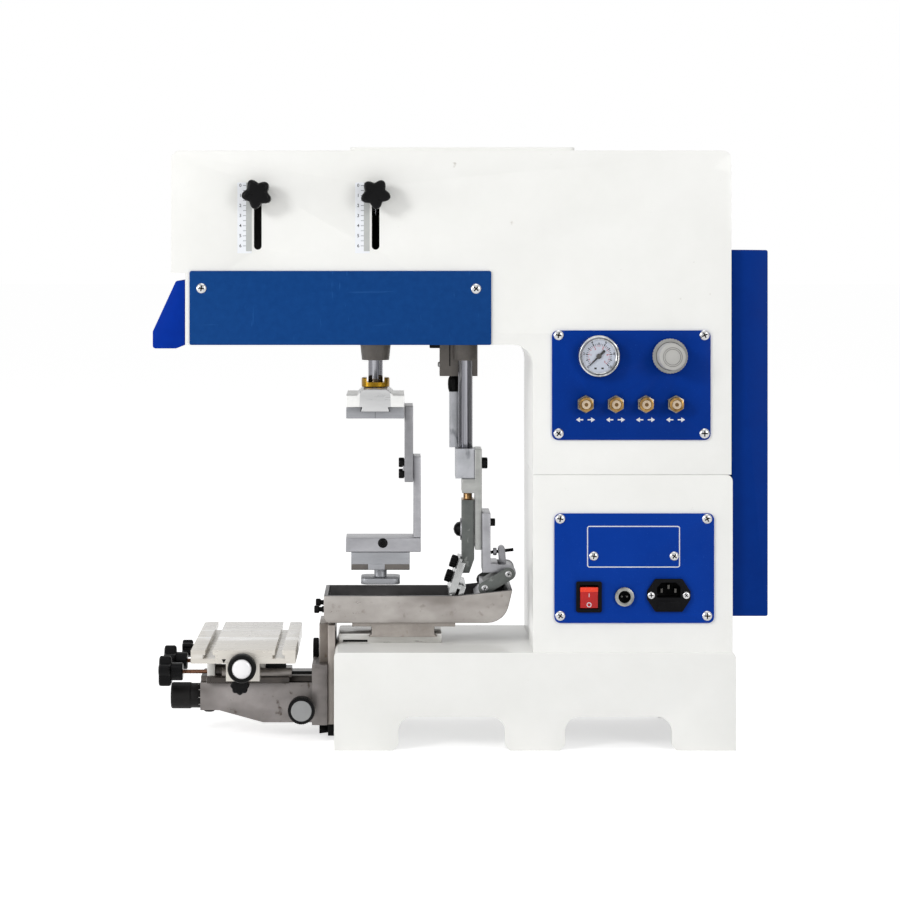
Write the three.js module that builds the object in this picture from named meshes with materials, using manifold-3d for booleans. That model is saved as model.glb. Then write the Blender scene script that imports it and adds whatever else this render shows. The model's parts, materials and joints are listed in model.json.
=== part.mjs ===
// Pad printing machine, bench size, in millimetres.
// The origin is the middle of the base's foot, +Z is up, and -Y is the side with the two panels.
import * as THREE from 'three';
import Module from 'manifold-3d';
import { mergeVertices } from 'three/addons/utils/BufferGeometryUtils.js';

const wasm = await Module();
wasm.setup();

// Clearance between pieces, and how far a cutting solid runs past the face it opens
const GAP = 0.3;
const OVERRUN = 3;

// Facets round a large and a small cylinder, and steps in a half rounded corner
const ROUND_SIDES = 28;
const SMALL_SIDES = 16;
const CORNER_STEPS = 3;

// Base casting
const BASE_LENGTH = 399;
const BASE_WIDTH = 184;
const BASE_HEIGHT = 97.4;
const CASTING_WALL = 8;

// Column and head castings
const BODY_WIDTH = 180;
const COLUMN_LENGTH = 198.3;
const COLUMN_SETBACK = 3.1;
const LOWER_COLUMN_HEIGHT = 176.3;
const HEAD_HEIGHT = 321.9;
const HEAD_SETBACK = 1.3;
const ARM_DEPTH = 193.2;
const ARM_REACH = 359.3;

// Faces that the other pieces are placed from
const BASE_FRONT = -BASE_LENGTH / 2;
const COLUMN_REAR = BASE_LENGTH / 2 - COLUMN_SETBACK;
const COLUMN_FRONT = COLUMN_REAR - COLUMN_LENGTH;
const HEAD_REAR = COLUMN_REAR - HEAD_SETBACK;
const JOINT_HEIGHT = BASE_HEIGHT + LOWER_COLUMN_HEIGHT;
const HEAD_BOTTOM = JOINT_HEIGHT + GAP;
const HEAD_TOP = HEAD_BOTTOM + HEAD_HEIGHT;
const ARM_UNDERSIDE = HEAD_TOP - ARM_DEPTH;
const ARM_FRONT = COLUMN_FRONT - ARM_REACH;
const NEAR_SIDE = -BODY_WIDTH / 2;
const FAR_SIDE = BODY_WIDTH / 2;
const INNER_NEAR = NEAR_SIDE + CASTING_WALL;
const INNER_FAR = FAR_SIDE - CASTING_WALL;

// Axes of the two rods that hang from the carriage, measured forward from the column
const PAD_SETBACK = 157.2;
const SCRAPER_SETBACK = 64.9;
const PAD_AXIS = COLUMN_FRONT - PAD_SETBACK;
const SCRAPER_AXIS = COLUMN_FRONT - SCRAPER_SETBACK;
const CARRIAGE_STROKE = 117;
const ROD_RADIUS = 7.5;

// Heights of the printing plate and of what works on it
const BED_HEIGHT = 9.3;
const ADAPTER_HEIGHT = 22;
const TRAY_FLOOR = 5;
const PLATE_THICKNESS = 9.7;
const TRAY_BOTTOM = BASE_HEIGHT + ADAPTER_HEIGHT;
const PLATE_TOP = TRAY_BOTTOM + TRAY_FLOOR + GAP + PLATE_THICKNESS;
const PAD_LIFT = 21;
const BLADE_LIFT = 6.6;

// Finishes
const WHITE_PAINT = { color: 0xf0f0ec, roughness: 0.45, metalness: 0 };
const BLUE_PAINT = { color: 0x16488c, roughness: 0.5, metalness: 0.1 };
const PANEL_BLUE = { color: 0x14449c, roughness: 0.45, metalness: 0.1 };
const STEEL = { color: 0xa5a5aa, roughness: 0.4, metalness: 0.9 };
const CHROME = { color: 0xd8d8dc, roughness: 0.12, metalness: 1 };
const CAST_METAL = { color: 0x968f8a, roughness: 0.55, metalness: 0.8 };
const MACHINED_IRON = { color: 0x8c8480, roughness: 0.5, metalness: 0.8 };
const LIGHT_ALLOY = { color: 0xcdcbc8, roughness: 0.35, metalness: 0.9 };
const DARK_ALLOY = { color: 0x5f6964, roughness: 0.45, metalness: 0.8 };
const BRASS = { color: 0xaa8214, roughness: 0.35, metalness: 1 };
const BLACK_PLASTIC = { color: 0x0f0f12, roughness: 0.35, metalness: 0 };
const GREY_PLASTIC = { color: 0xb9b4ac, roughness: 0.5, metalness: 0 };
const CREAM_PLASTIC = { color: 0xe1d2be, roughness: 0.5, metalness: 0 };
const RED_PLASTIC = { color: 0xc8281e, roughness: 0.35, metalness: 0 };

const model = new THREE.Group();

// A closed three.js geometry, placed by a matrix, as a solid that can be joined and cut
function solid(geometry, matrix) {
  geometry.deleteAttribute('normal');
  geometry.deleteAttribute('uv');
  geometry.applyMatrix4(matrix);
  const welded = mergeVertices(geometry);
  const corners = welded.index.array;
  const places = welded.attributes.position;
  const kept = [];
  let volume = 0;
  for (let i = 0; i < corners.length; i += 3) {
    const [a, b, c] = corners.slice(i, i + 3);
    if (a === b || b === c || c === a) continue;
    const [p, q, r] = [a, b, c].map((corner) => new THREE.Vector3().fromBufferAttribute(places, corner));
    volume += p.dot(q.cross(r));
    kept.push([a, b, c]);
  }
  const triangles = kept.map(([a, b, c]) => (volume > 0 ? [a, b, c] : [a, c, b]));
  return new wasm.Manifold(new wasm.Mesh({
    numProp: 3,
    vertProperties: new Float32Array(places.array),
    triVerts: new Uint32Array(triangles.flat()),
  }));
}

const X = new THREE.Vector3(1, 0, 0);
const Y = new THREE.Vector3(0, 1, 0);
const Z = new THREE.Vector3(0, 0, 1);

// Names a solid as one piece of the machine
function piece(name, shape, finish) {
  const mesh = shape.getMesh();
  const geometry = new THREE.BufferGeometry();
  geometry.setAttribute('position', new THREE.BufferAttribute(mesh.vertProperties, 3));
  geometry.setIndex(new THREE.BufferAttribute(mesh.triVerts, 1));
  geometry.computeVertexNormals();
  const part = new THREE.Mesh(geometry, new THREE.MeshStandardMaterial(finish));
  part.name = name;
  model.add(part);
}

function join(...shapes) {
  return shapes.reduce((whole, shape) => whole.add(shape));
}

function cut(body, ...tools) {
  return tools.reduce((whole, tool) => whole.subtract(tool), body);
}

function box(x0, x1, y0, y1, z0, z1) {
  const geometry = new THREE.BoxGeometry(x1 - x0, y1 - y0, z1 - z0);
  const middle = new THREE.Matrix4().makeTranslation((x0 + x1) / 2, (y0 + y1) / 2, (z0 + z1) / 2);
  return solid(geometry, middle);
}

// A closed outline whose corners are [a, b] or [a, b, radius]
function outline(corners) {
  const shape = new THREE.Shape();
  const points = corners.map(([a, b]) => new THREE.Vector2(a, b));
  corners.forEach(([, , radius], i) => {
    const corner = points[i];
    const back = points[(i + points.length - 1) % points.length].clone().sub(corner);
    const ahead = points[(i + 1) % points.length].clone().sub(corner);
    const reachPoint = (point) => (i === 0 ? shape.moveTo(point.x, point.y) : shape.lineTo(point.x, point.y));
    if (!radius) {
      reachPoint(corner);
      return;
    }
    const half = Math.acos(back.dot(ahead) / back.length() / ahead.length()) / 2;
    const room = Math.min(back.length(), ahead.length()) / 2;
    const reach = Math.min(radius / Math.tan(half), room);
    const bend = reach * Math.tan(half);
    const clockwise = back.cross(ahead) > 0;
    const start = corner.clone().addScaledVector(back.normalize(), reach);
    const end = corner.clone().addScaledVector(ahead.normalize(), reach);
    const centre = back.add(ahead).normalize().multiplyScalar(bend / Math.sin(half)).add(corner);
    const from = Math.atan2(start.y - centre.y, start.x - centre.x);
    const to = Math.atan2(end.y - centre.y, end.x - centre.x);
    reachPoint(start);
    shape.absarc(centre.x, centre.y, bend, from, to, clockwise);
  });
  return shape;
}

// A rectangle with four alike corners
function plate(a0, a1, b0, b1, radius) {
  return outline([[a0, b0, radius], [a1, b0, radius], [a1, b1, radius], [a0, b1, radius]]);
}

// Prisms of an outline drawn in (y, z), (x, z) or (x, y) and run along the third axis
function extruded(shape, length, matrix) {
  const geometry = new THREE.ExtrudeGeometry(shape, {
    depth: length, bevelEnabled: false, curveSegments: CORNER_STEPS,
  });
  return solid(geometry, matrix);
}

function prismX(shape, x0, x1) {
  return extruded(shape, x1 - x0, new THREE.Matrix4().makeBasis(Y, Z, X).setPosition(x0, 0, 0));
}

function prismY(shape, y0, y1) {
  const basis = new THREE.Matrix4().makeBasis(X, Z, Y.clone().negate());
  return extruded(shape, y1 - y0, basis.setPosition(0, y1, 0));
}

function prismZ(shape, z0, z1) {
  return extruded(shape, z1 - z0, new THREE.Matrix4().setPosition(0, 0, z0));
}

// Turned pieces: the profile's points are [radius, place along the axis]
function turned(profile, sides, matrix) {
  const points = profile.map(([radius, place]) => new THREE.Vector2(radius, place));
  return solid(new THREE.LatheGeometry(points, sides), matrix);
}

function turnedX(profile, y, z, sides = ROUND_SIDES) {
  const basis = new THREE.Matrix4().makeBasis(Y, X, Z.clone().negate());
  return turned(profile, sides, basis.setPosition(0, y, z));
}

function turnedY(profile, x, z, sides = ROUND_SIDES) {
  return turned(profile, sides, new THREE.Matrix4().setPosition(x, 0, z));
}

function turnedZ(profile, x, y, sides = ROUND_SIDES) {
  const basis = new THREE.Matrix4().makeBasis(X, Z, Y.clone().negate());
  return turned(profile, sides, basis.setPosition(x, y, 0));
}

function bar(radius, from, to) {
  return [[0, from], [radius, from], [radius, to], [0, to]];
}

// The lobed outline of a clamping knob about the point (a, b)
function lobes(count, outer, depth, a, b) {
  const shape = new THREE.Shape();
  const stepsPerLobe = 8;
  const steps = count * stepsPerLobe;
  for (let step = 0; step < steps; step += 1) {
    const turn = (step / steps) * 2 * Math.PI;
    const reach = outer - (depth * (1 - Math.cos(count * turn))) / 2;
    const point = [a + reach * Math.sin(turn), b + reach * Math.cos(turn)];
    if (step === 0) shape.moveTo(...point);
    else shape.lineTo(...point);
  }
  return shape;
}

// Base casting with the lower column: a hollow shell, open underneath, on three feet
const BASE_EDGE_RADIUS = 5;
const COLUMN_EDGE_RADIUS = 6;
const ARCH_HEIGHT = 33.6;
const ARCH_RADIUS = 20;
const FOOT_FLARE = 5;
const FOOT_LENGTH = 63.9;
const MIDDLE_FOOT_LENGTH = 59.7;
const RIB_THICKNESS = 44;
const REAR_WINDOW_MARGIN = 22;

function archOutline(from, to) {
  return outline([
    [from - FOOT_FLARE, -OVERRUN],
    [from - FOOT_FLARE, 0],
    [from, FOOT_FLARE, FOOT_FLARE],
    [from, ARCH_HEIGHT, ARCH_RADIUS],
    [to, ARCH_HEIGHT, ARCH_RADIUS],
    [to, FOOT_FLARE, FOOT_FLARE],
    [to + FOOT_FLARE, 0],
    [to + FOOT_FLARE, -OVERRUN],
  ]);
}

// The lower panel's place on the column, which the window behind it follows
const POWER_INSET = 21.1;
const POWER_WIDTH = 158.5;
const POWER_RISE = 29.5;
const POWER_HEIGHT = 108.7;
const PANEL_THICKNESS = 2;
const PANEL_RADIUS = 6;
const WINDOW_MARGIN = 14;
const POWER_WINDOW_HEIGHT = 42;
const POWER_WINDOW_RISE = 7;
const POWER_LEFT = COLUMN_FRONT + POWER_INSET;
const POWER_RIGHT = POWER_LEFT + POWER_WIDTH;
const POWER_BOTTOM = BASE_HEIGHT + POWER_RISE;
const PANEL_FACE = NEAR_SIDE - PANEL_THICKNESS;

const baseBlock = prismY(
  outline([
    [BASE_FRONT, 0],
    [BASE_LENGTH / 2, 0],
    [BASE_LENGTH / 2, BASE_HEIGHT, BASE_EDGE_RADIUS],
    [BASE_FRONT, BASE_HEIGHT, BASE_EDGE_RADIUS],
  ]),
  -BASE_WIDTH / 2,
  BASE_WIDTH / 2,
);
const columnBlock = prismY(
  outline([
    [COLUMN_FRONT, BASE_HEIGHT - CASTING_WALL],
    [COLUMN_REAR, BASE_HEIGHT - CASTING_WALL],
    [COLUMN_REAR, JOINT_HEIGHT, COLUMN_EDGE_RADIUS],
    [COLUMN_FRONT, JOINT_HEIGHT],
  ]),
  NEAR_SIDE,
  FAR_SIDE,
);
const baseHollow = (from, to) => box(
  from, to,
  CASTING_WALL - BASE_WIDTH / 2, BASE_WIDTH / 2 - CASTING_WALL,
  -OVERRUN, BASE_HEIGHT - CASTING_WALL,
);
const frontArchEnd = -MIDDLE_FOOT_LENGTH / 2;
const rearArchStart = MIDDLE_FOOT_LENGTH / 2;
const columnHollow = box(
  COLUMN_FRONT + CASTING_WALL, COLUMN_REAR - CASTING_WALL,
  INNER_NEAR, INNER_FAR,
  BASE_HEIGHT - 2 * CASTING_WALL, JOINT_HEIGHT + OVERRUN,
);
piece('base_casting', cut(
  join(baseBlock, columnBlock),
  baseHollow(BASE_FRONT + CASTING_WALL, -RIB_THICKNESS / 2),
  baseHollow(RIB_THICKNESS / 2, BASE_LENGTH / 2 - CASTING_WALL),
  prismY(archOutline(BASE_FRONT + FOOT_LENGTH, frontArchEnd), -BASE_WIDTH, BASE_WIDTH),
  prismY(archOutline(rearArchStart, BASE_LENGTH / 2 - FOOT_LENGTH), -BASE_WIDTH, BASE_WIDTH),
  cut(columnHollow, box(
    COLUMN_FRONT, RIB_THICKNESS / 2, NEAR_SIDE, FAR_SIDE, -OVERRUN, BASE_HEIGHT,
  )),
  box(
    COLUMN_REAR - CASTING_WALL - OVERRUN, COLUMN_REAR + OVERRUN,
    INNER_NEAR + REAR_WINDOW_MARGIN, INNER_FAR - REAR_WINDOW_MARGIN,
    BASE_HEIGHT + 2 * REAR_WINDOW_MARGIN, JOINT_HEIGHT - REAR_WINDOW_MARGIN,
  ),
  box(
    POWER_LEFT + WINDOW_MARGIN, POWER_RIGHT - WINDOW_MARGIN,
    NEAR_SIDE - OVERRUN, INNER_NEAR + OVERRUN,
    POWER_BOTTOM + POWER_WINDOW_RISE, POWER_BOTTOM + POWER_WINDOW_RISE + POWER_WINDOW_HEIGHT,
  ),
), WHITE_PAINT);

// Head casting: the upper column and the arm, hollow and open underneath for the carriage
const HEAD_EDGE_RADIUS = 8;
const THROAT_RADIUS = 20;
const GUARD_RECESS = 13.9;
const GUARD_SEAT_HEIGHT = 71.5;
const PARTITION = 8;
const ARM_FRONT_WALL = 8;
const LOWER_FRONT = ARM_FRONT + GUARD_RECESS;
const ARM_INNER_FRONT = LOWER_FRONT + ARM_FRONT_WALL;
const ARM_INNER_REAR = COLUMN_FRONT - PARTITION;
const CEILING = HEAD_TOP - CASTING_WALL;

// The upper panel, the side cover, the top cover and the two stroke slots
const CONTROL_INSET = 18.7;
const CONTROL_WIDTH = 157.4;
const CONTROL_HEIGHT = 108.7;
const CONTROL_RISE = 34.5;
const CONTROL_WINDOW_DROP = 88;
const CONTROL_WINDOW_TOP_MARGIN = 3.5;
const SIDE_COVER_LENGTH = 299.5;
const SIDE_COVER_HEIGHT = 73.6;
const SIDE_COVER_INSET = 4.4;
const SIDE_WINDOW_MARGIN = 22;
const SIDE_WINDOW_LEDGE = 12;
const TOP_COVER_LENGTH = 225;
const TOP_COVER_WIDTH = 140;
const TOP_COVER_THICKNESS = 4;
const TOP_COVER_OVERLAP = 43;
const TOP_WINDOW_MARGIN = 14;
const SLOT_WIDTH = 7.6;
const SLOT_RISE = 94.6;
const SLOT_LENGTH = 65;
const SLOT_OFFSET = 0.9;
const CONTROL_LEFT = COLUMN_FRONT + CONTROL_INSET;
const CONTROL_RIGHT = CONTROL_LEFT + CONTROL_WIDTH;
const CONTROL_BOTTOM = HEAD_BOTTOM + CONTROL_RISE;
const CONTROL_TOP = CONTROL_BOTTOM + CONTROL_HEIGHT;
const TOP_COVER_REAR = COLUMN_FRONT + TOP_COVER_OVERLAP;
const SLOT_BOTTOM = ARM_UNDERSIDE + SLOT_RISE;
const REAR_SLOT = PAD_AXIS + SLOT_OFFSET;
const FRONT_SLOT = REAR_SLOT - CARRIAGE_STROKE;
const SIDE_COVER_LEFT = LOWER_FRONT + SIDE_COVER_INSET;

const headBlock = prismY(
  outline([
    [COLUMN_FRONT, HEAD_BOTTOM],
    [HEAD_REAR, HEAD_BOTTOM],
    [HEAD_REAR, HEAD_TOP, HEAD_EDGE_RADIUS],
    [ARM_FRONT, HEAD_TOP, HEAD_EDGE_RADIUS],
    [ARM_FRONT, ARM_UNDERSIDE + GUARD_SEAT_HEIGHT],
    [LOWER_FRONT, ARM_UNDERSIDE + GUARD_SEAT_HEIGHT],
    [LOWER_FRONT, ARM_UNDERSIDE],
    [COLUMN_FRONT, ARM_UNDERSIDE, THROAT_RADIUS],
  ]),
  NEAR_SIDE,
  FAR_SIDE,
);
const slotCut = (x) => prismY(
  plate(
    x - SLOT_WIDTH / 2, x + SLOT_WIDTH / 2,
    SLOT_BOTTOM, SLOT_BOTTOM + SLOT_LENGTH,
    SLOT_WIDTH / 2,
  ),
  NEAR_SIDE - OVERRUN,
  INNER_NEAR + OVERRUN,
);
piece('head_casting', cut(
  headBlock,
  box(
    ARM_INNER_FRONT, ARM_INNER_REAR, INNER_NEAR, INNER_FAR,
    ARM_UNDERSIDE - OVERRUN, CEILING,
  ),
  box(
    COLUMN_FRONT + CASTING_WALL, HEAD_REAR - CASTING_WALL, INNER_NEAR, INNER_FAR,
    HEAD_BOTTOM - OVERRUN, CEILING,
  ),
  slotCut(REAR_SLOT),
  slotCut(FRONT_SLOT),
  box(
    TOP_COVER_REAR - TOP_COVER_LENGTH + TOP_WINDOW_MARGIN, ARM_INNER_REAR - TOP_WINDOW_MARGIN,
    TOP_WINDOW_MARGIN - TOP_COVER_WIDTH / 2, TOP_COVER_WIDTH / 2 - TOP_WINDOW_MARGIN,
    CEILING - OVERRUN, HEAD_TOP + OVERRUN,
  ),
  box(
    SIDE_COVER_LEFT + SIDE_WINDOW_MARGIN, SIDE_COVER_LEFT + SIDE_COVER_LENGTH - SIDE_WINDOW_MARGIN,
    NEAR_SIDE - OVERRUN, INNER_NEAR + OVERRUN,
    ARM_UNDERSIDE + SIDE_WINDOW_LEDGE, ARM_UNDERSIDE + SIDE_COVER_HEIGHT - SIDE_WINDOW_LEDGE,
  ),
  box(
    CONTROL_LEFT + WINDOW_MARGIN, CONTROL_RIGHT - WINDOW_MARGIN,
    NEAR_SIDE - OVERRUN, INNER_NEAR + OVERRUN,
    CONTROL_TOP - CONTROL_WINDOW_DROP, CONTROL_TOP - CONTROL_WINDOW_TOP_MARGIN,
  ),
  box(
    HEAD_REAR - CASTING_WALL - OVERRUN, HEAD_REAR + OVERRUN,
    INNER_NEAR + REAR_WINDOW_MARGIN, INNER_FAR - REAR_WINDOW_MARGIN,
    HEAD_BOTTOM + REAR_WINDOW_MARGIN, ARM_UNDERSIDE + REAR_WINDOW_MARGIN,
  ),
), WHITE_PAINT);

// Top cover plate
piece('top_cover', prismZ(
  plate(
    TOP_COVER_REAR - TOP_COVER_LENGTH, TOP_COVER_REAR,
    -TOP_COVER_WIDTH / 2, TOP_COVER_WIDTH / 2,
    PANEL_RADIUS,
  ),
  HEAD_TOP,
  HEAD_TOP + TOP_COVER_THICKNESS,
), WHITE_PAINT);

// Side cover over the carriage's window
piece('side_cover', prismY(
  plate(
    SIDE_COVER_LEFT, SIDE_COVER_LEFT + SIDE_COVER_LENGTH,
    ARM_UNDERSIDE, ARM_UNDERSIDE + SIDE_COVER_HEIGHT,
    PANEL_THICKNESS,
  ),
  PANEL_FACE,
  NEAR_SIDE,
), BLUE_PAINT);

// Rear cover: a tray of sheet metal over both rear windows
const REAR_COVER_DEPTH = 36;
const REAR_COVER_WIDTH = 160;
const REAR_COVER_RISE = 34.6;
const REAR_COVER_BOTTOM = BASE_HEIGHT + REAR_COVER_RISE;
const REAR_COVER_HEIGHT = 365;
const REAR_COVER_SHEET = 2;
const rearCoverFront = COLUMN_REAR + GAP;
const rearCoverBack = rearCoverFront + REAR_COVER_DEPTH;
piece('rear_cover', cut(
  prismY(
    outline([
      [rearCoverFront, REAR_COVER_BOTTOM],
      [rearCoverBack, REAR_COVER_BOTTOM, PANEL_THICKNESS],
      [rearCoverBack, REAR_COVER_BOTTOM + REAR_COVER_HEIGHT, PANEL_THICKNESS],
      [rearCoverFront, REAR_COVER_BOTTOM + REAR_COVER_HEIGHT],
    ]),
    -REAR_COVER_WIDTH / 2,
    REAR_COVER_WIDTH / 2,
  ),
  box(
    rearCoverFront - OVERRUN, rearCoverBack - REAR_COVER_SHEET,
    REAR_COVER_SHEET - REAR_COVER_WIDTH / 2, REAR_COVER_WIDTH / 2 - REAR_COVER_SHEET,
    REAR_COVER_BOTTOM + REAR_COVER_SHEET,
    REAR_COVER_BOTTOM + REAR_COVER_HEIGHT - REAR_COVER_SHEET,
  ),
), BLUE_PAINT);

// Front guard: a wedge of sheet metal before the arm's lower edge, open towards the arm
const GUARD_REACH = 32;
const GUARD_NOSE_HEIGHT = 13.4;
const GUARD_TOP_HEIGHT = 63.9;
const GUARD_TOP_LENGTH = 8.8;
const GUARD_SHEET = 2;
const GUARD_DROP = 3.5;
const GUARD_RADIUS = 3;
const guardRear = LOWER_FRONT - GAP;
const guardOutline = (inset) => outline([
  [guardRear + (inset ? OVERRUN : 0), ARM_UNDERSIDE + inset],
  [guardRear - GUARD_TOP_LENGTH, ARM_UNDERSIDE - GUARD_DROP + inset],
  [guardRear - GUARD_REACH + inset, ARM_UNDERSIDE - GUARD_DROP + inset, GUARD_RADIUS],
  [guardRear - GUARD_REACH + inset, ARM_UNDERSIDE + GUARD_NOSE_HEIGHT, GUARD_RADIUS],
  [guardRear - GUARD_TOP_LENGTH, ARM_UNDERSIDE + GUARD_TOP_HEIGHT - 2 * inset, GUARD_RADIUS],
  [guardRear + (inset ? OVERRUN : 0), ARM_UNDERSIDE + GUARD_TOP_HEIGHT - 2 * inset],
]);
piece('front_guard', cut(
  prismY(guardOutline(0), NEAR_SIDE, FAR_SIDE),
  prismY(guardOutline(GUARD_SHEET), NEAR_SIDE + GUARD_SHEET, FAR_SIDE - GUARD_SHEET),
), BLUE_PAINT);

// Pressure gauge on the control panel, with its needle in the dial
const GAUGE_RADIUS = 20.7;
const GAUGE_CASE_RADIUS = 19.4;
const GAUGE_DIAL_RADIUS = 18.4;
const GAUGE_FLANGE_DEPTH = 11;
const GAUGE_CASE_DEPTH = 24;
const GAUGE_DIAL_DEPTH = 5;
const NEEDLE_LENGTH = 13;
const NEEDLE_TAIL = 5;
const NEEDLE_WIDTH = 2;
const NEEDLE_THICKNESS = 0.8;
const NEEDLE_HUB_RADIUS = 2.4;
const GAUGE_INSET = 46.2;
const GAUGE_DROP = 25.3;
const gaugeX = CONTROL_LEFT + GAUGE_INSET;
const gaugeZ = CONTROL_TOP - GAUGE_DROP;
const gaugeFront = PANEL_FACE - GAUGE_FLANGE_DEPTH;
const dialFace = gaugeFront + GAUGE_DIAL_DEPTH;
const needleBack = dialFace - GAP;
piece('pressure_gauge', turnedY([
  [0, dialFace],
  [GAUGE_DIAL_RADIUS, dialFace],
  [GAUGE_DIAL_RADIUS, gaugeFront],
  [GAUGE_RADIUS, gaugeFront],
  [GAUGE_RADIUS, PANEL_FACE - GAP],
  [GAUGE_CASE_RADIUS, PANEL_FACE - GAP],
  [GAUGE_CASE_RADIUS, PANEL_FACE + GAUGE_CASE_DEPTH],
  [0, PANEL_FACE + GAUGE_CASE_DEPTH],
], gaugeX, gaugeZ), CHROME);
const needleBlade = prismY(
  outline([
    [gaugeX - NEEDLE_WIDTH / 2, gaugeZ - NEEDLE_TAIL],
    [gaugeX + NEEDLE_WIDTH / 2, gaugeZ - NEEDLE_TAIL],
    [gaugeX + NEEDLE_WIDTH / 4, gaugeZ + NEEDLE_LENGTH],
    [gaugeX - NEEDLE_WIDTH / 4, gaugeZ + NEEDLE_LENGTH],
  ]),
  needleBack - NEEDLE_THICKNESS,
  needleBack,
);
const NEEDLE_REST = THREE.MathUtils.degToRad(-135);
const aboutGauge = new THREE.Matrix4().makeTranslation(gaugeX, 0, gaugeZ)
  .multiply(new THREE.Matrix4().makeRotationY(NEEDLE_REST))
  .multiply(new THREE.Matrix4().makeTranslation(-gaugeX, 0, -gaugeZ));
const needleHub = turnedY(
  bar(NEEDLE_HUB_RADIUS, needleBack - 2 * NEEDLE_THICKNESS, needleBack), gaugeX, gaugeZ, SMALL_SIDES,
);
piece('gauge_needle', join(needleBlade.transform(aboutGauge.elements), needleHub), BLACK_PLASTIC);

// Pressure regulator: the body stands behind the panel and its spindle carries the knob
const REGULATOR_RADIUS = 15;
const REGULATOR_DEPTH = 34;
const REGULATOR_SPINDLE = 4;
const REGULATOR_KNOB_RADIUS = 17.5;
const REGULATOR_CAP_RADIUS = 13;
const REGULATOR_KNOB_LENGTH = 27;
const REGULATOR_SKIRT = 15;
const REGULATOR_SHOULDER = 19;
const REGULATOR_BORE_DEPTH = 20;
const REGULATOR_SPACING = 70.7;
const regulatorX = gaugeX + REGULATOR_SPACING;
const regulatorZ = gaugeZ;
const knobBack = PANEL_FACE - GAP;
piece('regulator_body', turnedY([
  [0, PANEL_FACE + REGULATOR_DEPTH],
  [REGULATOR_RADIUS, PANEL_FACE + REGULATOR_DEPTH],
  [REGULATOR_RADIUS, NEAR_SIDE + GAP],
  [REGULATOR_CAP_RADIUS, NEAR_SIDE + GAP],
  [REGULATOR_CAP_RADIUS, PANEL_FACE],
  [REGULATOR_SPINDLE, PANEL_FACE],
  [REGULATOR_SPINDLE, knobBack + GAP - REGULATOR_BORE_DEPTH],
  [0, knobBack + GAP - REGULATOR_BORE_DEPTH],
], regulatorX, regulatorZ), GREY_PLASTIC);
piece('regulator_knob', turnedY([
  [REGULATOR_SPINDLE + GAP, knobBack],
  [REGULATOR_KNOB_RADIUS, knobBack],
  [REGULATOR_KNOB_RADIUS, knobBack - REGULATOR_SKIRT],
  [REGULATOR_CAP_RADIUS, knobBack - REGULATOR_SHOULDER],
  [REGULATOR_CAP_RADIUS, knobBack - REGULATOR_KNOB_LENGTH],
  [0, knobBack - REGULATOR_KNOB_LENGTH],
  [0, knobBack - REGULATOR_BORE_DEPTH],
  [REGULATOR_SPINDLE + GAP, knobBack - REGULATOR_BORE_DEPTH],
  [REGULATOR_SPINDLE + GAP, knobBack],
], regulatorX, regulatorZ), GREY_PLASTIC);

// Throttle block behind the panel, with four barrels through it, and the screw in each barrel
const THROTTLE_COUNT = 4;
const THROTTLE_PITCH = 29.8;
const THROTTLE_BARREL_RADIUS = 7.1;
const THROTTLE_NUT_RADIUS = 9;
const THROTTLE_NUT_HEIGHT = 4;
const THROTTLE_BARREL_LENGTH = 12;
const THROTTLE_SCREW_RADIUS = 4.4;
const THROTTLE_SCREW_DEPTH = 8;
const THROTTLE_SCREW_HEAD = 1;
const THROTTLE_BLOCK_DEPTH = 18;
const THROTTLE_BLOCK_HEIGHT = 18;
const THROTTLE_BLOCK_MARGIN = 10;
const THROTTLE_INSET = 33.2;
const THROTTLE_DROP = 47.6;
const HEX = 6;
const throttleX = CONTROL_LEFT + THROTTLE_INSET;
const throttleZ = gaugeZ - THROTTLE_DROP;
const throttleEnd = throttleX + (THROTTLE_COUNT - 1) * THROTTLE_PITCH;
const nutBack = PANEL_FACE - GAP;
const barrelFront = nutBack - THROTTLE_BARREL_LENGTH;
const throttlePlaces = Array.from({ length: THROTTLE_COUNT }, (_, i) => throttleX + i * THROTTLE_PITCH);
const throttleBlock = box(
  throttleX - THROTTLE_BLOCK_MARGIN, throttleEnd + THROTTLE_BLOCK_MARGIN,
  NEAR_SIDE + GAP, NEAR_SIDE + THROTTLE_BLOCK_DEPTH,
  throttleZ - THROTTLE_BLOCK_HEIGHT / 2, throttleZ + THROTTLE_BLOCK_HEIGHT / 2,
);
const throttleBarrels = throttlePlaces.map((x) => join(
  turnedY(bar(THROTTLE_BARREL_RADIUS, barrelFront, NEAR_SIDE + 2 * GAP), x, throttleZ, SMALL_SIDES),
  turnedY(bar(THROTTLE_NUT_RADIUS, nutBack - THROTTLE_NUT_HEIGHT, nutBack), x, throttleZ, HEX),
));
const throttleBores = throttlePlaces.map((x) => turnedY(
  bar(THROTTLE_SCREW_RADIUS + GAP, barrelFront - OVERRUN, barrelFront + THROTTLE_SCREW_DEPTH + GAP),
  x, throttleZ, SMALL_SIDES,
));
piece('throttle_block', cut(join(throttleBlock, ...throttleBarrels), ...throttleBores), BRASS);
throttlePlaces.forEach((x, i) => {
  const screw = bar(
    THROTTLE_SCREW_RADIUS, barrelFront - THROTTLE_SCREW_HEAD, barrelFront + THROTTLE_SCREW_DEPTH,
  );
  piece(`throttle_screw_${i + 1}`, turnedY(screw, x, throttleZ, SMALL_SIDES), CREAM_PLASTIC);
});

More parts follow.
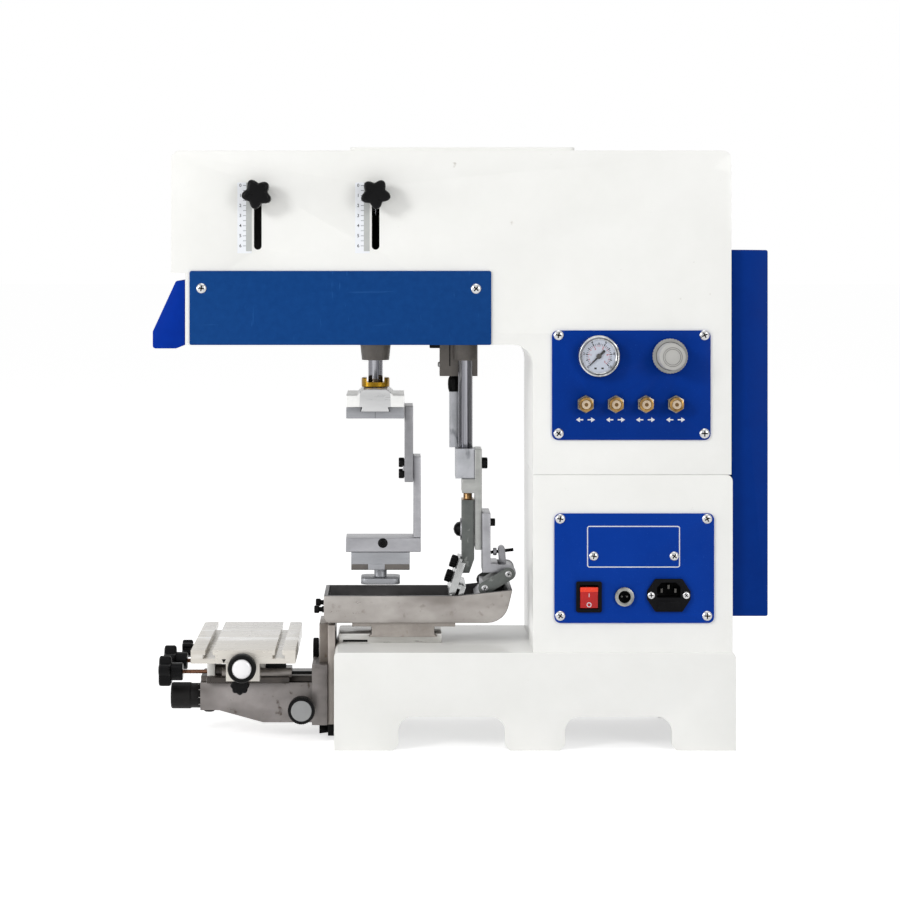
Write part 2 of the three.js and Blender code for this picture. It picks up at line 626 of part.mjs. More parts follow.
// Control panel with the holes that its fittings pass through
piece('control_panel', cut(
  prismY(
    plate(
      CONTROL_LEFT, CONTROL_RIGHT, CONTROL_BOTTOM, CONTROL_BOTTOM + CONTROL_HEIGHT, PANEL_RADIUS,
    ),
    PANEL_FACE,
    NEAR_SIDE,
  ),
  turnedY(bar(GAUGE_CASE_RADIUS + GAP, PANEL_FACE - OVERRUN, NEAR_SIDE + OVERRUN), gaugeX, gaugeZ),
  turnedY(
    bar(REGULATOR_CAP_RADIUS + GAP, PANEL_FACE - OVERRUN, NEAR_SIDE + OVERRUN), regulatorX, regulatorZ,
  ),
  ...throttlePlaces.map((x) => turnedY(
    bar(THROTTLE_BARREL_RADIUS + GAP, PANEL_FACE - OVERRUN, NEAR_SIDE + OVERRUN),
    x, throttleZ, SMALL_SIDES,
  )),
), PANEL_BLUE);

// Mains switch: a housing through the panel and the rocker that tips in it
const SWITCH_WIDTH = 25.5;
const SWITCH_HEIGHT = 30.6;
const SWITCH_FLANGE = 2.2;
const SWITCH_RIM = 2;
const SWITCH_DEPTH = 20;
const ROCKER_WIDTH = 17.6;
const ROCKER_HEIGHT = 21.2;
const ROCKER_DEPTH = 8;
const ROCKER_CREST = 1.6;
const ROCKER_TILT = THREE.MathUtils.degToRad(8);
const ROCKER_ROOM = 1.2;
const SWITCH_WELL = 14;
const SWITCH_INSET = 34.2;
const SWITCH_RISE = 26.1;
const switchX = POWER_LEFT + SWITCH_INSET;
const switchZ = POWER_BOTTOM + SWITCH_RISE;
const flangeBack = PANEL_FACE - GAP;
const switchFront = flangeBack - SWITCH_FLANGE;
const switchBlock = join(
  prismY(
    plate(
      switchX - SWITCH_WIDTH / 2, switchX + SWITCH_WIDTH / 2,
      switchZ - SWITCH_HEIGHT / 2, switchZ + SWITCH_HEIGHT / 2,
      SWITCH_RIM,
    ),
    switchFront,
    flangeBack,
  ),
  box(
    switchX - SWITCH_WIDTH / 2 + SWITCH_RIM, switchX + SWITCH_WIDTH / 2 - SWITCH_RIM,
    switchFront, PANEL_FACE + SWITCH_DEPTH,
    switchZ - SWITCH_HEIGHT / 2 + SWITCH_RIM, switchZ + SWITCH_HEIGHT / 2 - SWITCH_RIM,
  ),
);
piece('switch_housing', cut(switchBlock, box(
  switchX - ROCKER_WIDTH / 2 - GAP, switchX + ROCKER_WIDTH / 2 + GAP,
  switchFront - OVERRUN, switchFront + SWITCH_WELL,
  switchZ - ROCKER_HEIGHT / 2 - ROCKER_ROOM, switchZ + ROCKER_HEIGHT / 2 + ROCKER_ROOM,
)), BLACK_PLASTIC);
const rockerFace = switchFront - ROCKER_CREST;
const rockerBody = prismX(
  outline([
    [rockerFace, switchZ - ROCKER_HEIGHT / 2],
    [rockerFace + ROCKER_CREST, switchZ],
    [rockerFace, switchZ + ROCKER_HEIGHT / 2],
    [rockerFace + ROCKER_DEPTH, switchZ + ROCKER_HEIGHT / 2 - ROCKER_CREST],
    [rockerFace + ROCKER_DEPTH, switchZ - ROCKER_HEIGHT / 2 + ROCKER_CREST],
  ]),
  switchX - ROCKER_WIDTH / 2,
  switchX + ROCKER_WIDTH / 2,
);
const rockerPivot = rockerFace + ROCKER_DEPTH / 2;
const tipRocker = new THREE.Matrix4().makeTranslation(0, rockerPivot, switchZ)
  .multiply(new THREE.Matrix4().makeRotationX(ROCKER_TILT))
  .multiply(new THREE.Matrix4().makeTranslation(0, -rockerPivot, -switchZ));
piece('switch_rocker', rockerBody.transform(tipRocker.elements), RED_PLASTIC);

// Foot switch socket: a round flange with a well and its contact pins
const PEDAL_RADIUS = 9.5;
const PEDAL_BARREL = 8;
const PEDAL_WELL_RADIUS = 6.2;
const PEDAL_WELL_DEPTH = 9;
const PEDAL_DEPTH = 20;
const PEDAL_FLANGE = 3;
const PIN_RADIUS = 1;
const PIN_SPREAD = 2.6;
const PEDAL_SPACING = 35.2;
const PEDAL_RISE = 26.3;
const pedalX = switchX + PEDAL_SPACING;
const pedalZ = POWER_BOTTOM + PEDAL_RISE;
const pedalFront = flangeBack - PEDAL_FLANGE;
const pedalPins = [-PIN_SPREAD, PIN_SPREAD].map((shift) => turnedY(
  bar(PIN_RADIUS, pedalFront + PEDAL_FLANGE, pedalFront + PEDAL_WELL_DEPTH + PIN_RADIUS),
  pedalX + shift, pedalZ, SMALL_SIDES / 2,
));
piece('pedal_socket', join(turnedY([
  [0, pedalFront + PEDAL_WELL_DEPTH],
  [PEDAL_WELL_RADIUS, pedalFront + PEDAL_WELL_DEPTH],
  [PEDAL_WELL_RADIUS, pedalFront],
  [PEDAL_RADIUS, pedalFront],
  [PEDAL_RADIUS, flangeBack],
  [PEDAL_BARREL, flangeBack],
  [PEDAL_BARREL, PANEL_FACE + PEDAL_DEPTH],
  [0, PANEL_FACE + PEDAL_DEPTH],
], pedalX, pedalZ, SMALL_SIDES), ...pedalPins), STEEL);

// Mains inlet: a flange with cut corners, the well with its three pins, and the fuse holder
const INLET_WIDTH = 43;
const INLET_HEIGHT = 32.4;
const INLET_FLANGE = 3;
const INLET_CORNER_RUN = 8;
const INLET_CORNER_RISE = 12.1;
const INLET_CORNER_RADIUS = 2;
const INLET_BODY_WIDTH = 26.4;
const INLET_DEPTH = 26;
const INLET_WELL_WIDTH = 23.4;
const INLET_WELL_HEIGHT = 15;
const INLET_WELL_DEPTH = 16;
const INLET_WELL_RISE = 5.3;
const INLET_WELL_SHOULDER = 4.6;
const INLET_PIN_WIDTH = 2;
const INLET_PIN_HEIGHT = 4;
const INLET_PIN_PITCH = 6.8;
const INLET_PIN_DROP = 1;
const INLET_EARTH_RISE = 3.8;
const FUSE_WIDTH = 22.6;
const FUSE_HEIGHT = 8.6;
const FUSE_DROP = 10;
const FUSE_LIP = 1.2;
const INLET_SPACING = 43.8;
const INLET_RISE = 27.8;
const inletX = pedalX + INLET_SPACING;
const inletZ = POWER_BOTTOM + INLET_RISE;
const inletFront = flangeBack - INLET_FLANGE;
const wellZ = inletZ + INLET_WELL_RISE;
const fuseZ = inletZ - FUSE_DROP;
const inletLeft = inletX - INLET_WIDTH / 2;
const inletRight = inletX + INLET_WIDTH / 2;
const inletBottom = inletZ - INLET_HEIGHT / 2;
const inletTop = inletZ + INLET_HEIGHT / 2;
const wellLeft = inletX - INLET_WELL_WIDTH / 2;
const wellRight = inletX + INLET_WELL_WIDTH / 2;
const wellTop = wellZ + INLET_WELL_HEIGHT / 2;
const inletFlange = prismY(
  outline([
    [inletLeft, inletBottom + INLET_CORNER_RISE, INLET_CORNER_RADIUS],
    [inletLeft + INLET_CORNER_RUN, inletBottom, INLET_CORNER_RADIUS],
    [inletRight - INLET_CORNER_RUN, inletBottom, INLET_CORNER_RADIUS],
    [inletRight, inletBottom + INLET_CORNER_RISE, INLET_CORNER_RADIUS],
    [inletRight, inletTop - INLET_CORNER_RISE, INLET_CORNER_RADIUS],
    [inletRight - INLET_CORNER_RUN, inletTop, INLET_CORNER_RADIUS],
    [inletLeft + INLET_CORNER_RUN, inletTop, INLET_CORNER_RADIUS],
    [inletLeft, inletTop - INLET_CORNER_RISE, INLET_CORNER_RADIUS],
  ]),
  inletFront,
  flangeBack,
);
const inletPins = [[-1, 0], [0, INLET_EARTH_RISE], [1, 0]].map(([place, rise]) => {
  const pinX = inletX + place * INLET_PIN_PITCH;
  const pinZ = wellZ - INLET_PIN_DROP + rise;
  return box(
    pinX - INLET_PIN_WIDTH / 2, pinX + INLET_PIN_WIDTH / 2,
    inletFront + INLET_FLANGE, inletFront + INLET_WELL_DEPTH + INLET_PIN_WIDTH,
    pinZ - INLET_PIN_HEIGHT / 2, pinZ + INLET_PIN_HEIGHT / 2,
  );
});
const inletBody = box(
  inletX - INLET_BODY_WIDTH / 2, inletX + INLET_BODY_WIDTH / 2,
  inletFront, PANEL_FACE + INLET_DEPTH,
  inletZ - INLET_HEIGHT / 2 + SWITCH_RIM / 2, inletZ + INLET_HEIGHT / 2 - SWITCH_RIM,
);
const inletShell = cut(
  join(inletFlange, inletBody),
  prismY(
    outline([
      [wellLeft, wellZ - INLET_WELL_HEIGHT / 2],
      [wellRight, wellZ - INLET_WELL_HEIGHT / 2],
      [wellRight, wellTop - INLET_WELL_SHOULDER],
      [wellRight - INLET_WELL_SHOULDER, wellTop],
      [wellLeft + INLET_WELL_SHOULDER, wellTop],
      [wellLeft, wellTop - INLET_WELL_SHOULDER],
    ]),
    inletFront - OVERRUN,
    inletFront + INLET_WELL_DEPTH,
  ),
);
const fuseHolder = box(
  inletX - FUSE_WIDTH / 2, inletX + FUSE_WIDTH / 2, inletFront - FUSE_LIP, flangeBack,
  fuseZ - FUSE_HEIGHT / 2, fuseZ + FUSE_HEIGHT / 2,
);
piece('mains_inlet', join(inletShell, fuseHolder, ...inletPins), BLACK_PLASTIC);

// Power panel with the openings for the switch, the socket and the inlet
const bodyCut = (x0, x1, z0, z1) => box(
  x0 - GAP, x1 + GAP, PANEL_FACE - OVERRUN, NEAR_SIDE + OVERRUN, z0 - GAP, z1 + GAP,
);
piece('power_panel', cut(
  prismY(
    plate(POWER_LEFT, POWER_RIGHT, POWER_BOTTOM, POWER_BOTTOM + POWER_HEIGHT, PANEL_RADIUS),
    PANEL_FACE,
    NEAR_SIDE,
  ),
  bodyCut(
    switchX - SWITCH_WIDTH / 2 + SWITCH_RIM, switchX + SWITCH_WIDTH / 2 - SWITCH_RIM,
    switchZ - SWITCH_HEIGHT / 2 + SWITCH_RIM, switchZ + SWITCH_HEIGHT / 2 - SWITCH_RIM,
  ),
  bodyCut(
    inletX - INLET_BODY_WIDTH / 2, inletX + INLET_BODY_WIDTH / 2,
    inletZ - INLET_HEIGHT / 2 + SWITCH_RIM / 2, inletZ + INLET_HEIGHT / 2 - SWITCH_RIM,
  ),
  turnedY(
    bar(PEDAL_BARREL + GAP, PANEL_FACE - OVERRUN, NEAR_SIDE + OVERRUN), pedalX, pedalZ, SMALL_SIDES,
  ),
), PANEL_BLUE);

// Carriage in the arm: it runs on two guide rods and a cylinder pushes it forward
const GUIDE_RADIUS = 8;
const GUIDE_SPREAD = 110;
const GUIDE_HEIGHT = 38;
const CARRIAGE_THICKNESS = 32;
const CARRIAGE_LENGTH = 160;
const CARRIAGE_WIDTH = 144;
const CARRIAGE_REAR_GAP = 33;
const carriageBottom = ARM_UNDERSIDE + GUIDE_HEIGHT - CARRIAGE_THICKNESS / 2;
const carriageTop = carriageBottom + CARRIAGE_THICKNESS;
const carriageRear = ARM_INNER_REAR - CARRIAGE_REAR_GAP;
const carriageFront = carriageRear - CARRIAGE_LENGTH;
const guideZ = ARM_UNDERSIDE + GUIDE_HEIGHT;
const GUIDE_PLATE = 8;
const GUIDE_PLATE_HEIGHT = 30;
const guideStart = ARM_INNER_FRONT + GAP;
const guideEnd = ARM_INNER_REAR - GAP;
const guidePlate = (x) => box(
  x, x + GUIDE_PLATE, -CARRIAGE_WIDTH / 2, CARRIAGE_WIDTH / 2,
  guideZ - GUIDE_PLATE_HEIGHT / 2, guideZ + GUIDE_PLATE_HEIGHT / 2,
);
piece('guide_frame', join(
  guidePlate(guideStart),
  guidePlate(guideEnd - GUIDE_PLATE),
  ...[-1, 1].map((side) => turnedX(
    bar(GUIDE_RADIUS, guideStart, guideEnd), (side * GUIDE_SPREAD) / 2, guideZ, SMALL_SIDES,
  )),
), CHROME);

// Drive cylinder on the wall behind the arm, its piston rod bolted to the carriage
const DRIVE_RADIUS = 20;
const DRIVE_WALL = 3.5;
const DRIVE_LENGTH = 155;
const DRIVE_OFFSET = 50;
const DRIVE_HEIGHT = 88;
const DRIVE_ROD_RADIUS = 6;
const DRIVE_CAP = 10;
const DRIVE_PISTON = 12;
const DRIVE_LUG_WIDTH = 30;
const DRIVE_LUG_LENGTH = 12;
const DRIVE_LUG_RISE = 12;
const driveZ = ARM_UNDERSIDE + DRIVE_HEIGHT;
const driveFront = ARM_INNER_REAR - GAP - DRIVE_LENGTH;
const driveBore = DRIVE_RADIUS - DRIVE_WALL;
piece('drive_cylinder', cut(
  turnedX(bar(DRIVE_RADIUS, driveFront, ARM_INNER_REAR - GAP), DRIVE_OFFSET, driveZ),
  turnedX(
    bar(driveBore, driveFront + DRIVE_CAP, ARM_INNER_REAR - GAP - DRIVE_CAP),
    DRIVE_OFFSET, driveZ, SMALL_SIDES,
  ),
  turnedX(
    bar(DRIVE_ROD_RADIUS + GAP, driveFront - OVERRUN, driveFront + DRIVE_CAP + OVERRUN),
    DRIVE_OFFSET, driveZ, SMALL_SIDES,
  ),
), LIGHT_ALLOY);
const pistonRear = ARM_INNER_REAR - DRIVE_CAP - 4 * GAP;
const driveRod = join(
  turnedX(bar(DRIVE_ROD_RADIUS, carriageFront, pistonRear), DRIVE_OFFSET, driveZ, SMALL_SIDES),
  turnedX(
    bar(driveBore - GAP, pistonRear - DRIVE_PISTON, pistonRear), DRIVE_OFFSET, driveZ, SMALL_SIDES,
  ),
  box(
    carriageFront, carriageFront + DRIVE_LUG_LENGTH,
    DRIVE_OFFSET - DRIVE_LUG_WIDTH / 2, DRIVE_OFFSET + DRIVE_LUG_WIDTH / 2,
    carriageTop - OVERRUN, driveZ + DRIVE_LUG_RISE,
  ),
);

// Bosses under the carriage for the two rods, and the scraper's own cylinder on top of it
const PAD_BOSS_TOP_RADIUS = 16;
const PAD_BOSS_RADIUS = 14;
const PAD_BOSS_DROP = 18.7;
const SCRAPER_BOSS_RADIUS = 12;
const SCRAPER_BOSS_DROP = 19.1;
const HOUSING_FRONT = 26.1;
const HOUSING_LENGTH = 39;
const HOUSING_NEAR = 8;
const HOUSING_DEPTH = 22;
const HOUSING_DROP = 36;
const SCRAPER_CYLINDER_LENGTH = 46;
const SCRAPER_CYLINDER_HEIGHT = 62;
const SCRAPER_BORE = 15;
const CYLINDER_CAP = 6;
const padBossBottom = ARM_UNDERSIDE - PAD_BOSS_DROP;
const housingBottom = ARM_UNDERSIDE - HOUSING_DROP;
const housingFront = SCRAPER_AXIS - HOUSING_FRONT;
const scraperCylinderTop = carriageTop + SCRAPER_CYLINDER_HEIGHT;
const shaftHole = (x, top) => turnedZ(
  bar(ROD_RADIUS + GAP, ARM_UNDERSIDE - HOUSING_DROP, top), x, 0, SMALL_SIDES,
);
const carriageBody = join(
  box(
    carriageFront, carriageRear, -CARRIAGE_WIDTH / 2, CARRIAGE_WIDTH / 2, carriageBottom, carriageTop,
  ),
  driveRod,
  turnedZ([
    [0, padBossBottom],
    [PAD_BOSS_RADIUS, padBossBottom],
    [PAD_BOSS_TOP_RADIUS, ARM_UNDERSIDE],
    [PAD_BOSS_TOP_RADIUS, carriageBottom + OVERRUN],
    [0, carriageBottom + OVERRUN],
  ], PAD_AXIS, 0),
  turnedZ(
    bar(SCRAPER_BOSS_RADIUS, ARM_UNDERSIDE - SCRAPER_BOSS_DROP, carriageBottom + OVERRUN),
    SCRAPER_AXIS, 0,
  ),
  box(
    housingFront, housingFront + HOUSING_LENGTH, HOUSING_NEAR, HOUSING_NEAR + HOUSING_DEPTH,
    housingBottom, carriageBottom + OVERRUN,
  ),
  box(
    SCRAPER_AXIS - SCRAPER_CYLINDER_LENGTH / 2, SCRAPER_AXIS + SCRAPER_CYLINDER_LENGTH / 2,
    -SCRAPER_CYLINDER_LENGTH / 2, SCRAPER_CYLINDER_LENGTH / 2,
    carriageTop - OVERRUN, scraperCylinderTop,
  ),
);
piece('carriage', cut(
  carriageBody,
  ...[-1, 1].map((side) => turnedX(
    bar(GUIDE_RADIUS + GAP, carriageFront - OVERRUN, carriageRear + OVERRUN),
    (side * GUIDE_SPREAD) / 2, guideZ, SMALL_SIDES,
  )),
  shaftHole(PAD_AXIS, carriageTop + OVERRUN),
  shaftHole(SCRAPER_AXIS, scraperCylinderTop + OVERRUN),
  turnedZ(
    bar(SCRAPER_BORE, carriageTop + CYLINDER_CAP, scraperCylinderTop - CYLINDER_CAP),
    SCRAPER_AXIS, 0, SMALL_SIDES,
  ),
), LIGHT_ALLOY);

// Pad cylinder on the carriage
const PAD_CYLINDER_SIZE = 50;
const PAD_CYLINDER_HEIGHT = 74;
const PAD_BORE = 20;
const padCylinderBottom = carriageTop + GAP;
const padCylinderTop = padCylinderBottom + PAD_CYLINDER_HEIGHT;
piece('pad_cylinder', cut(
  box(
    PAD_AXIS - PAD_CYLINDER_SIZE / 2, PAD_AXIS + PAD_CYLINDER_SIZE / 2,
    -PAD_CYLINDER_SIZE / 2, PAD_CYLINDER_SIZE / 2, padCylinderBottom, padCylinderTop,
  ),
  turnedZ(
    bar(PAD_BORE, padCylinderBottom + CYLINDER_CAP, padCylinderTop - CYLINDER_CAP),
    PAD_AXIS, 0, SMALL_SIDES,
  ),
  shaftHole(PAD_AXIS, padCylinderTop + OVERRUN),
), LIGHT_ALLOY);

// Pad shaft with its piston and the collar on its tail
const PAD_TRAVEL_UP = 16;
const PAD_TRAVEL_DOWN = 18;
const PISTON_THICKNESS = 12;
const COLLAR_RADIUS = 12;
const COLLAR_THICKNESS = 6;
const HEAD_BLOCK_DROP = 46.7;
const SHAFT_SEAT = 14;
const pistonBottom = padCylinderBottom + CYLINDER_CAP + PAD_TRAVEL_DOWN + 4 * GAP;
const collarBottom = padCylinderTop + PAD_TRAVEL_DOWN + 4 * GAP;
const blockTop = ARM_UNDERSIDE - HEAD_BLOCK_DROP;
piece('pad_shaft', join(
  turnedZ(
    bar(ROD_RADIUS, blockTop - SHAFT_SEAT, collarBottom + COLLAR_THICKNESS), PAD_AXIS, 0, SMALL_SIDES,
  ),
  turnedZ(
    bar(PAD_BORE - GAP, pistonBottom, pistonBottom + PISTON_THICKNESS), PAD_AXIS, 0, SMALL_SIDES,
  ),
  turnedZ(
    bar(COLLAR_RADIUS, collarBottom, collarBottom + COLLAR_THICKNESS), PAD_AXIS, 0, SMALL_SIDES,
  ),
), CHROME);

// Slotted ring nut that locks the head block on the shaft
const RING_NUT_RADIUS = 14.4;
const RING_NUT_HEIGHT = 9.7;
const RING_NUT_NOTCHES = 4;
const RING_NUT_NOTCH = 9;
const RING_NUT_NOTCH_DEPTH = 4;
const RING_NUT_BAND = 4;
const nutBottom = blockTop + GAP;
const nutTop = nutBottom + RING_NUT_HEIGHT;
const nutNotches = Array.from({ length: RING_NUT_NOTCHES / 2 }, (_, i) => {
  const turn = new THREE.Matrix4().makeTranslation(PAD_AXIS, 0, 0)
    .multiply(new THREE.Matrix4().makeRotationZ((i * 2 * Math.PI) / RING_NUT_NOTCHES));
  return box(
    -RING_NUT_NOTCH / 2, RING_NUT_NOTCH / 2, -RING_NUT_RADIUS - OVERRUN, RING_NUT_RADIUS + OVERRUN,
    nutTop - RING_NUT_NOTCH_DEPTH, nutTop + OVERRUN,
  ).transform(turn.elements);
});
piece('ring_nut', cut(
  turnedZ([
    [ROD_RADIUS + GAP, nutBottom],
    [RING_NUT_RADIUS, nutBottom],
    [RING_NUT_RADIUS, nutTop],
    [ROD_RADIUS + GAP, nutTop],
    [ROD_RADIUS + GAP, nutBottom],
  ], PAD_AXIS, 0),
  ...nutNotches.map((notch) => cut(notch, turnedZ(
    bar(RING_NUT_RADIUS - RING_NUT_BAND, nutBottom, nutTop + 2 * OVERRUN), PAD_AXIS, 0, SMALL_SIDES,
  ))),
), BRASS);

// Head block, with a dovetail tongue that the offset slide hangs from
const HEAD_BLOCK_LENGTH = 59;
const HEAD_BLOCK_DEPTH = 90;
const HEAD_BLOCK_BODY = 12;
const CROWN_RISE = 6;
const CROWN_TOP = 24;
const CROWN_FOOT = 37;
const TONGUE_HEIGHT = 4.5;
const TONGUE_NECK = 25.3;
const TONGUE_FOOT = 29;
const blockShoulder = blockTop - CROWN_RISE;
const blockBottom = blockShoulder - HEAD_BLOCK_BODY;
const tongueBottom = blockBottom - TONGUE_HEIGHT;
piece('head_block', cut(
  prismY(
    outline([
      [PAD_AXIS - TONGUE_FOOT / 2, tongueBottom],
      [PAD_AXIS + TONGUE_FOOT / 2, tongueBottom],
      [PAD_AXIS + TONGUE_NECK / 2, blockBottom],
      [PAD_AXIS + HEAD_BLOCK_LENGTH / 2, blockBottom],
      [PAD_AXIS + HEAD_BLOCK_LENGTH / 2, blockShoulder],
      [PAD_AXIS + CROWN_FOOT / 2, blockShoulder],
      [PAD_AXIS + CROWN_TOP / 2, blockTop],
      [PAD_AXIS - CROWN_TOP / 2, blockTop],
      [PAD_AXIS - CROWN_FOOT / 2, blockShoulder],
      [PAD_AXIS - HEAD_BLOCK_LENGTH / 2, blockShoulder],
      [PAD_AXIS - HEAD_BLOCK_LENGTH / 2, blockBottom],
      [PAD_AXIS - TONGUE_NECK / 2, blockBottom],
    ]),
    -HEAD_BLOCK_DEPTH / 2,
    HEAD_BLOCK_DEPTH / 2,
  ),
  turnedZ(
    bar(ROD_RADIUS + GAP, blockTop - SHAFT_SEAT - GAP, blockTop + OVERRUN), PAD_AXIS, 0, SMALL_SIDES,
  ),
), LIGHT_ALLOY);

// Offset slide with the groove for the tongue
const SLIDE_HEIGHT = 11.8;
const SLIDE_DEPTH = 70;
const slideTop = blockBottom - GAP;
const slideBottom = slideTop - SLIDE_HEIGHT;
piece('offset_slide', cut(
  box(
    PAD_AXIS - HEAD_BLOCK_LENGTH / 2, PAD_AXIS + HEAD_BLOCK_LENGTH / 2,
    -SLIDE_DEPTH / 2, SLIDE_DEPTH / 2, slideBottom, slideTop,
  ),
  prismY(
    outline([
      [PAD_AXIS - TONGUE_FOOT / 2 - 2 * GAP, tongueBottom - GAP],
      [PAD_AXIS + TONGUE_FOOT / 2 + 2 * GAP, tongueBottom - GAP],
      [PAD_AXIS + TONGUE_NECK / 2 + 2 * GAP, slideTop],
      [PAD_AXIS + TONGUE_NECK / 2 + 2 * GAP, slideTop + OVERRUN],
      [PAD_AXIS - TONGUE_NECK / 2 - 2 * GAP, slideTop + OVERRUN],
      [PAD_AXIS - TONGUE_NECK / 2 - 2 * GAP, slideTop],
    ]),
    -SLIDE_DEPTH,
    SLIDE_DEPTH,
  ),
), LIGHT_ALLOY);

// Drop bars and foot bar that reach under the head, and the holder with the pad plate
const UPPER_BAR_THICKNESS = 8.7;
const UPPER_BAR_WIDTH = 60;
const LOWER_BAR_THICKNESS = 7.6;
const LOWER_BAR_WIDTH = 40;
const LOWER_BAR_LENGTH = 82.6;
const BAR_OVERLAP = 25;
const PAD_PLATE_SIZE = 40;
const PAD_PLATE_THICKNESS = 6;
const PAD_PLATE_RADIUS = 8;
const PAD_STEM_RADIUS = 6.5;
const PAD_STEM_LENGTH = 8.6;
const HOLDER_LENGTH = 59.8;
const HOLDER_HEIGHT = 18;
const FOOT_BAR_HEIGHT = 14.4;
const FOOT_BAR_LENGTH = 76.5;
const PAD_CENTRE_SHIFT = 5.2;
const barNear = PAD_AXIS + HEAD_BLOCK_LENGTH / 2 + GAP;
const lowerBarNear = barNear + UPPER_BAR_THICKNESS + GAP;
const footBarRight = lowerBarNear + LOWER_BAR_THICKNESS;
const padPlateBottom = PLATE_TOP + PAD_LIFT;
const stemTop = padPlateBottom + PAD_PLATE_THICKNESS + PAD_STEM_LENGTH;
const holderBottom = stemTop + GAP;
const footBarBottom = holderBottom + HOLDER_HEIGHT + GAP;
const footBarTop = footBarBottom + FOOT_BAR_HEIGHT;
const lowerBarBottom = footBarTop + GAP;
const lowerBarTop = lowerBarBottom + LOWER_BAR_LENGTH;
const padX = PAD_AXIS + PAD_CENTRE_SHIFT;
piece('upper_bar', box(
  barNear, barNear + UPPER_BAR_THICKNESS, -UPPER_BAR_WIDTH / 2, UPPER_BAR_WIDTH / 2,
  lowerBarTop - BAR_OVERLAP, slideTop,
), LIGHT_ALLOY);
piece('lower_bar', box(
  lowerBarNear, footBarRight, -LOWER_BAR_WIDTH / 2, LOWER_BAR_WIDTH / 2, lowerBarBottom, lowerBarTop,
), LIGHT_ALLOY);
piece('foot_bar', box(
  footBarRight - FOOT_BAR_LENGTH, footBarRight, -LOWER_BAR_WIDTH / 2, LOWER_BAR_WIDTH / 2,
  footBarBottom, footBarTop,
), LIGHT_ALLOY);
piece('pad_holder', box(
  padX - HOLDER_LENGTH / 2, padX + HOLDER_LENGTH / 2, -LOWER_BAR_WIDTH / 2, LOWER_BAR_WIDTH / 2,
  holderBottom, footBarBottom - GAP,
), STEEL);
piece('pad_plate', join(
  prismZ(
    plate(
      padX - PAD_PLATE_SIZE / 2, padX + PAD_PLATE_SIZE / 2,
      -PAD_PLATE_SIZE / 2, PAD_PLATE_SIZE / 2, PAD_PLATE_RADIUS,
    ),
    padPlateBottom,
    padPlateBottom + PAD_PLATE_THICKNESS,
  ),
  turnedZ(bar(PAD_STEM_RADIUS, padPlateBottom + PAD_PLATE_THICKNESS / 2, stemTop), padX, 0),
), LIGHT_ALLOY);

// Stroke stops behind the two slots, each with the star knob that clamps it
const STOP_TRAVEL_DOWN = 51;
const STOP_TRAVEL_UP = 4;
const STOP_HEIGHT = 16;
const STOP_WIDTH = 30;
const STOP_DEPTH = 40;
const STUD_RADIUS = 3.5;
const STUD_LENGTH = 14;
const STAR_RADIUS = 15.2;
const STAR_DEPTH = 4.4;
const STAR_LOBES = 5;
const STAR_THICKNESS = 15;
const STAR_HUB_RADIUS = 8;
const STAR_HUB_LENGTH = 8;
const stopZ = SLOT_BOTTOM + SLOT_WIDTH / 2 + STOP_TRAVEL_DOWN + GAP;
const starBack = NEAR_SIDE - GAP;
const starFront = starBack - STAR_HUB_LENGTH - STAR_THICKNESS;
for (const [place, slot] of [['front', FRONT_SLOT], ['rear', REAR_SLOT]]) {
  piece(`stroke_stop_${place}`, join(
    box(
      slot - STOP_WIDTH / 2, slot + STOP_WIDTH / 2, INNER_NEAR + GAP, INNER_NEAR + GAP + STOP_DEPTH,
      stopZ - STOP_HEIGHT / 2, stopZ + STOP_HEIGHT / 2,
    ),
    turnedY(
      bar(STUD_RADIUS, NEAR_SIDE - STUD_LENGTH, INNER_NEAR + STUD_RADIUS), slot, stopZ, SMALL_SIDES,
    ),
  ), STEEL);
  piece(`stroke_knob_${place}`, cut(
    join(
      turnedY(
        bar(STAR_HUB_RADIUS, starBack - STAR_HUB_LENGTH - GAP, starBack), slot, stopZ, SMALL_SIDES,
      ),
      prismY(
        lobes(STAR_LOBES, STAR_RADIUS, STAR_DEPTH, slot, stopZ), starFront, starBack - STAR_HUB_LENGTH,
      ),
    ),
    turnedY(
      bar(STUD_RADIUS + GAP, NEAR_SIDE - STUD_LENGTH - GAP, starBack + OVERRUN),
      slot, stopZ, SMALL_SIDES,
    ),
  ), BLACK_PLASTIC);
}

// Scraper shaft with the piston that lifts it
const SCRAPER_TRAVEL = 6;
const SHAFT_TAIL = 5;
const CLAMP_DROP = 139.5;
const CLAMP_HEIGHT = 30.3;
const CLAMP_FRONT = 10.4;
const CLAMP_REAR = 9.3;
const CLAMP_DEPTH = 30;
const clampBottom = ARM_UNDERSIDE - CLAMP_DROP;
const clampTop = clampBottom + CLAMP_HEIGHT;
const clampRight = SCRAPER_AXIS + CLAMP_REAR;
const scraperPiston = carriageTop + CYLINDER_CAP + SCRAPER_TRAVEL + 4 * GAP;
piece('scraper_shaft', join(
  turnedZ(
    bar(ROD_RADIUS, clampBottom + CYLINDER_CAP, scraperCylinderTop + SHAFT_TAIL),
    SCRAPER_AXIS, 0, SMALL_SIDES,
  ),
  turnedZ(
    bar(SCRAPER_BORE - GAP, scraperPiston, scraperPiston + PISTON_THICKNESS),
    SCRAPER_AXIS, 0, SMALL_SIDES,
  ),
), CHROME);

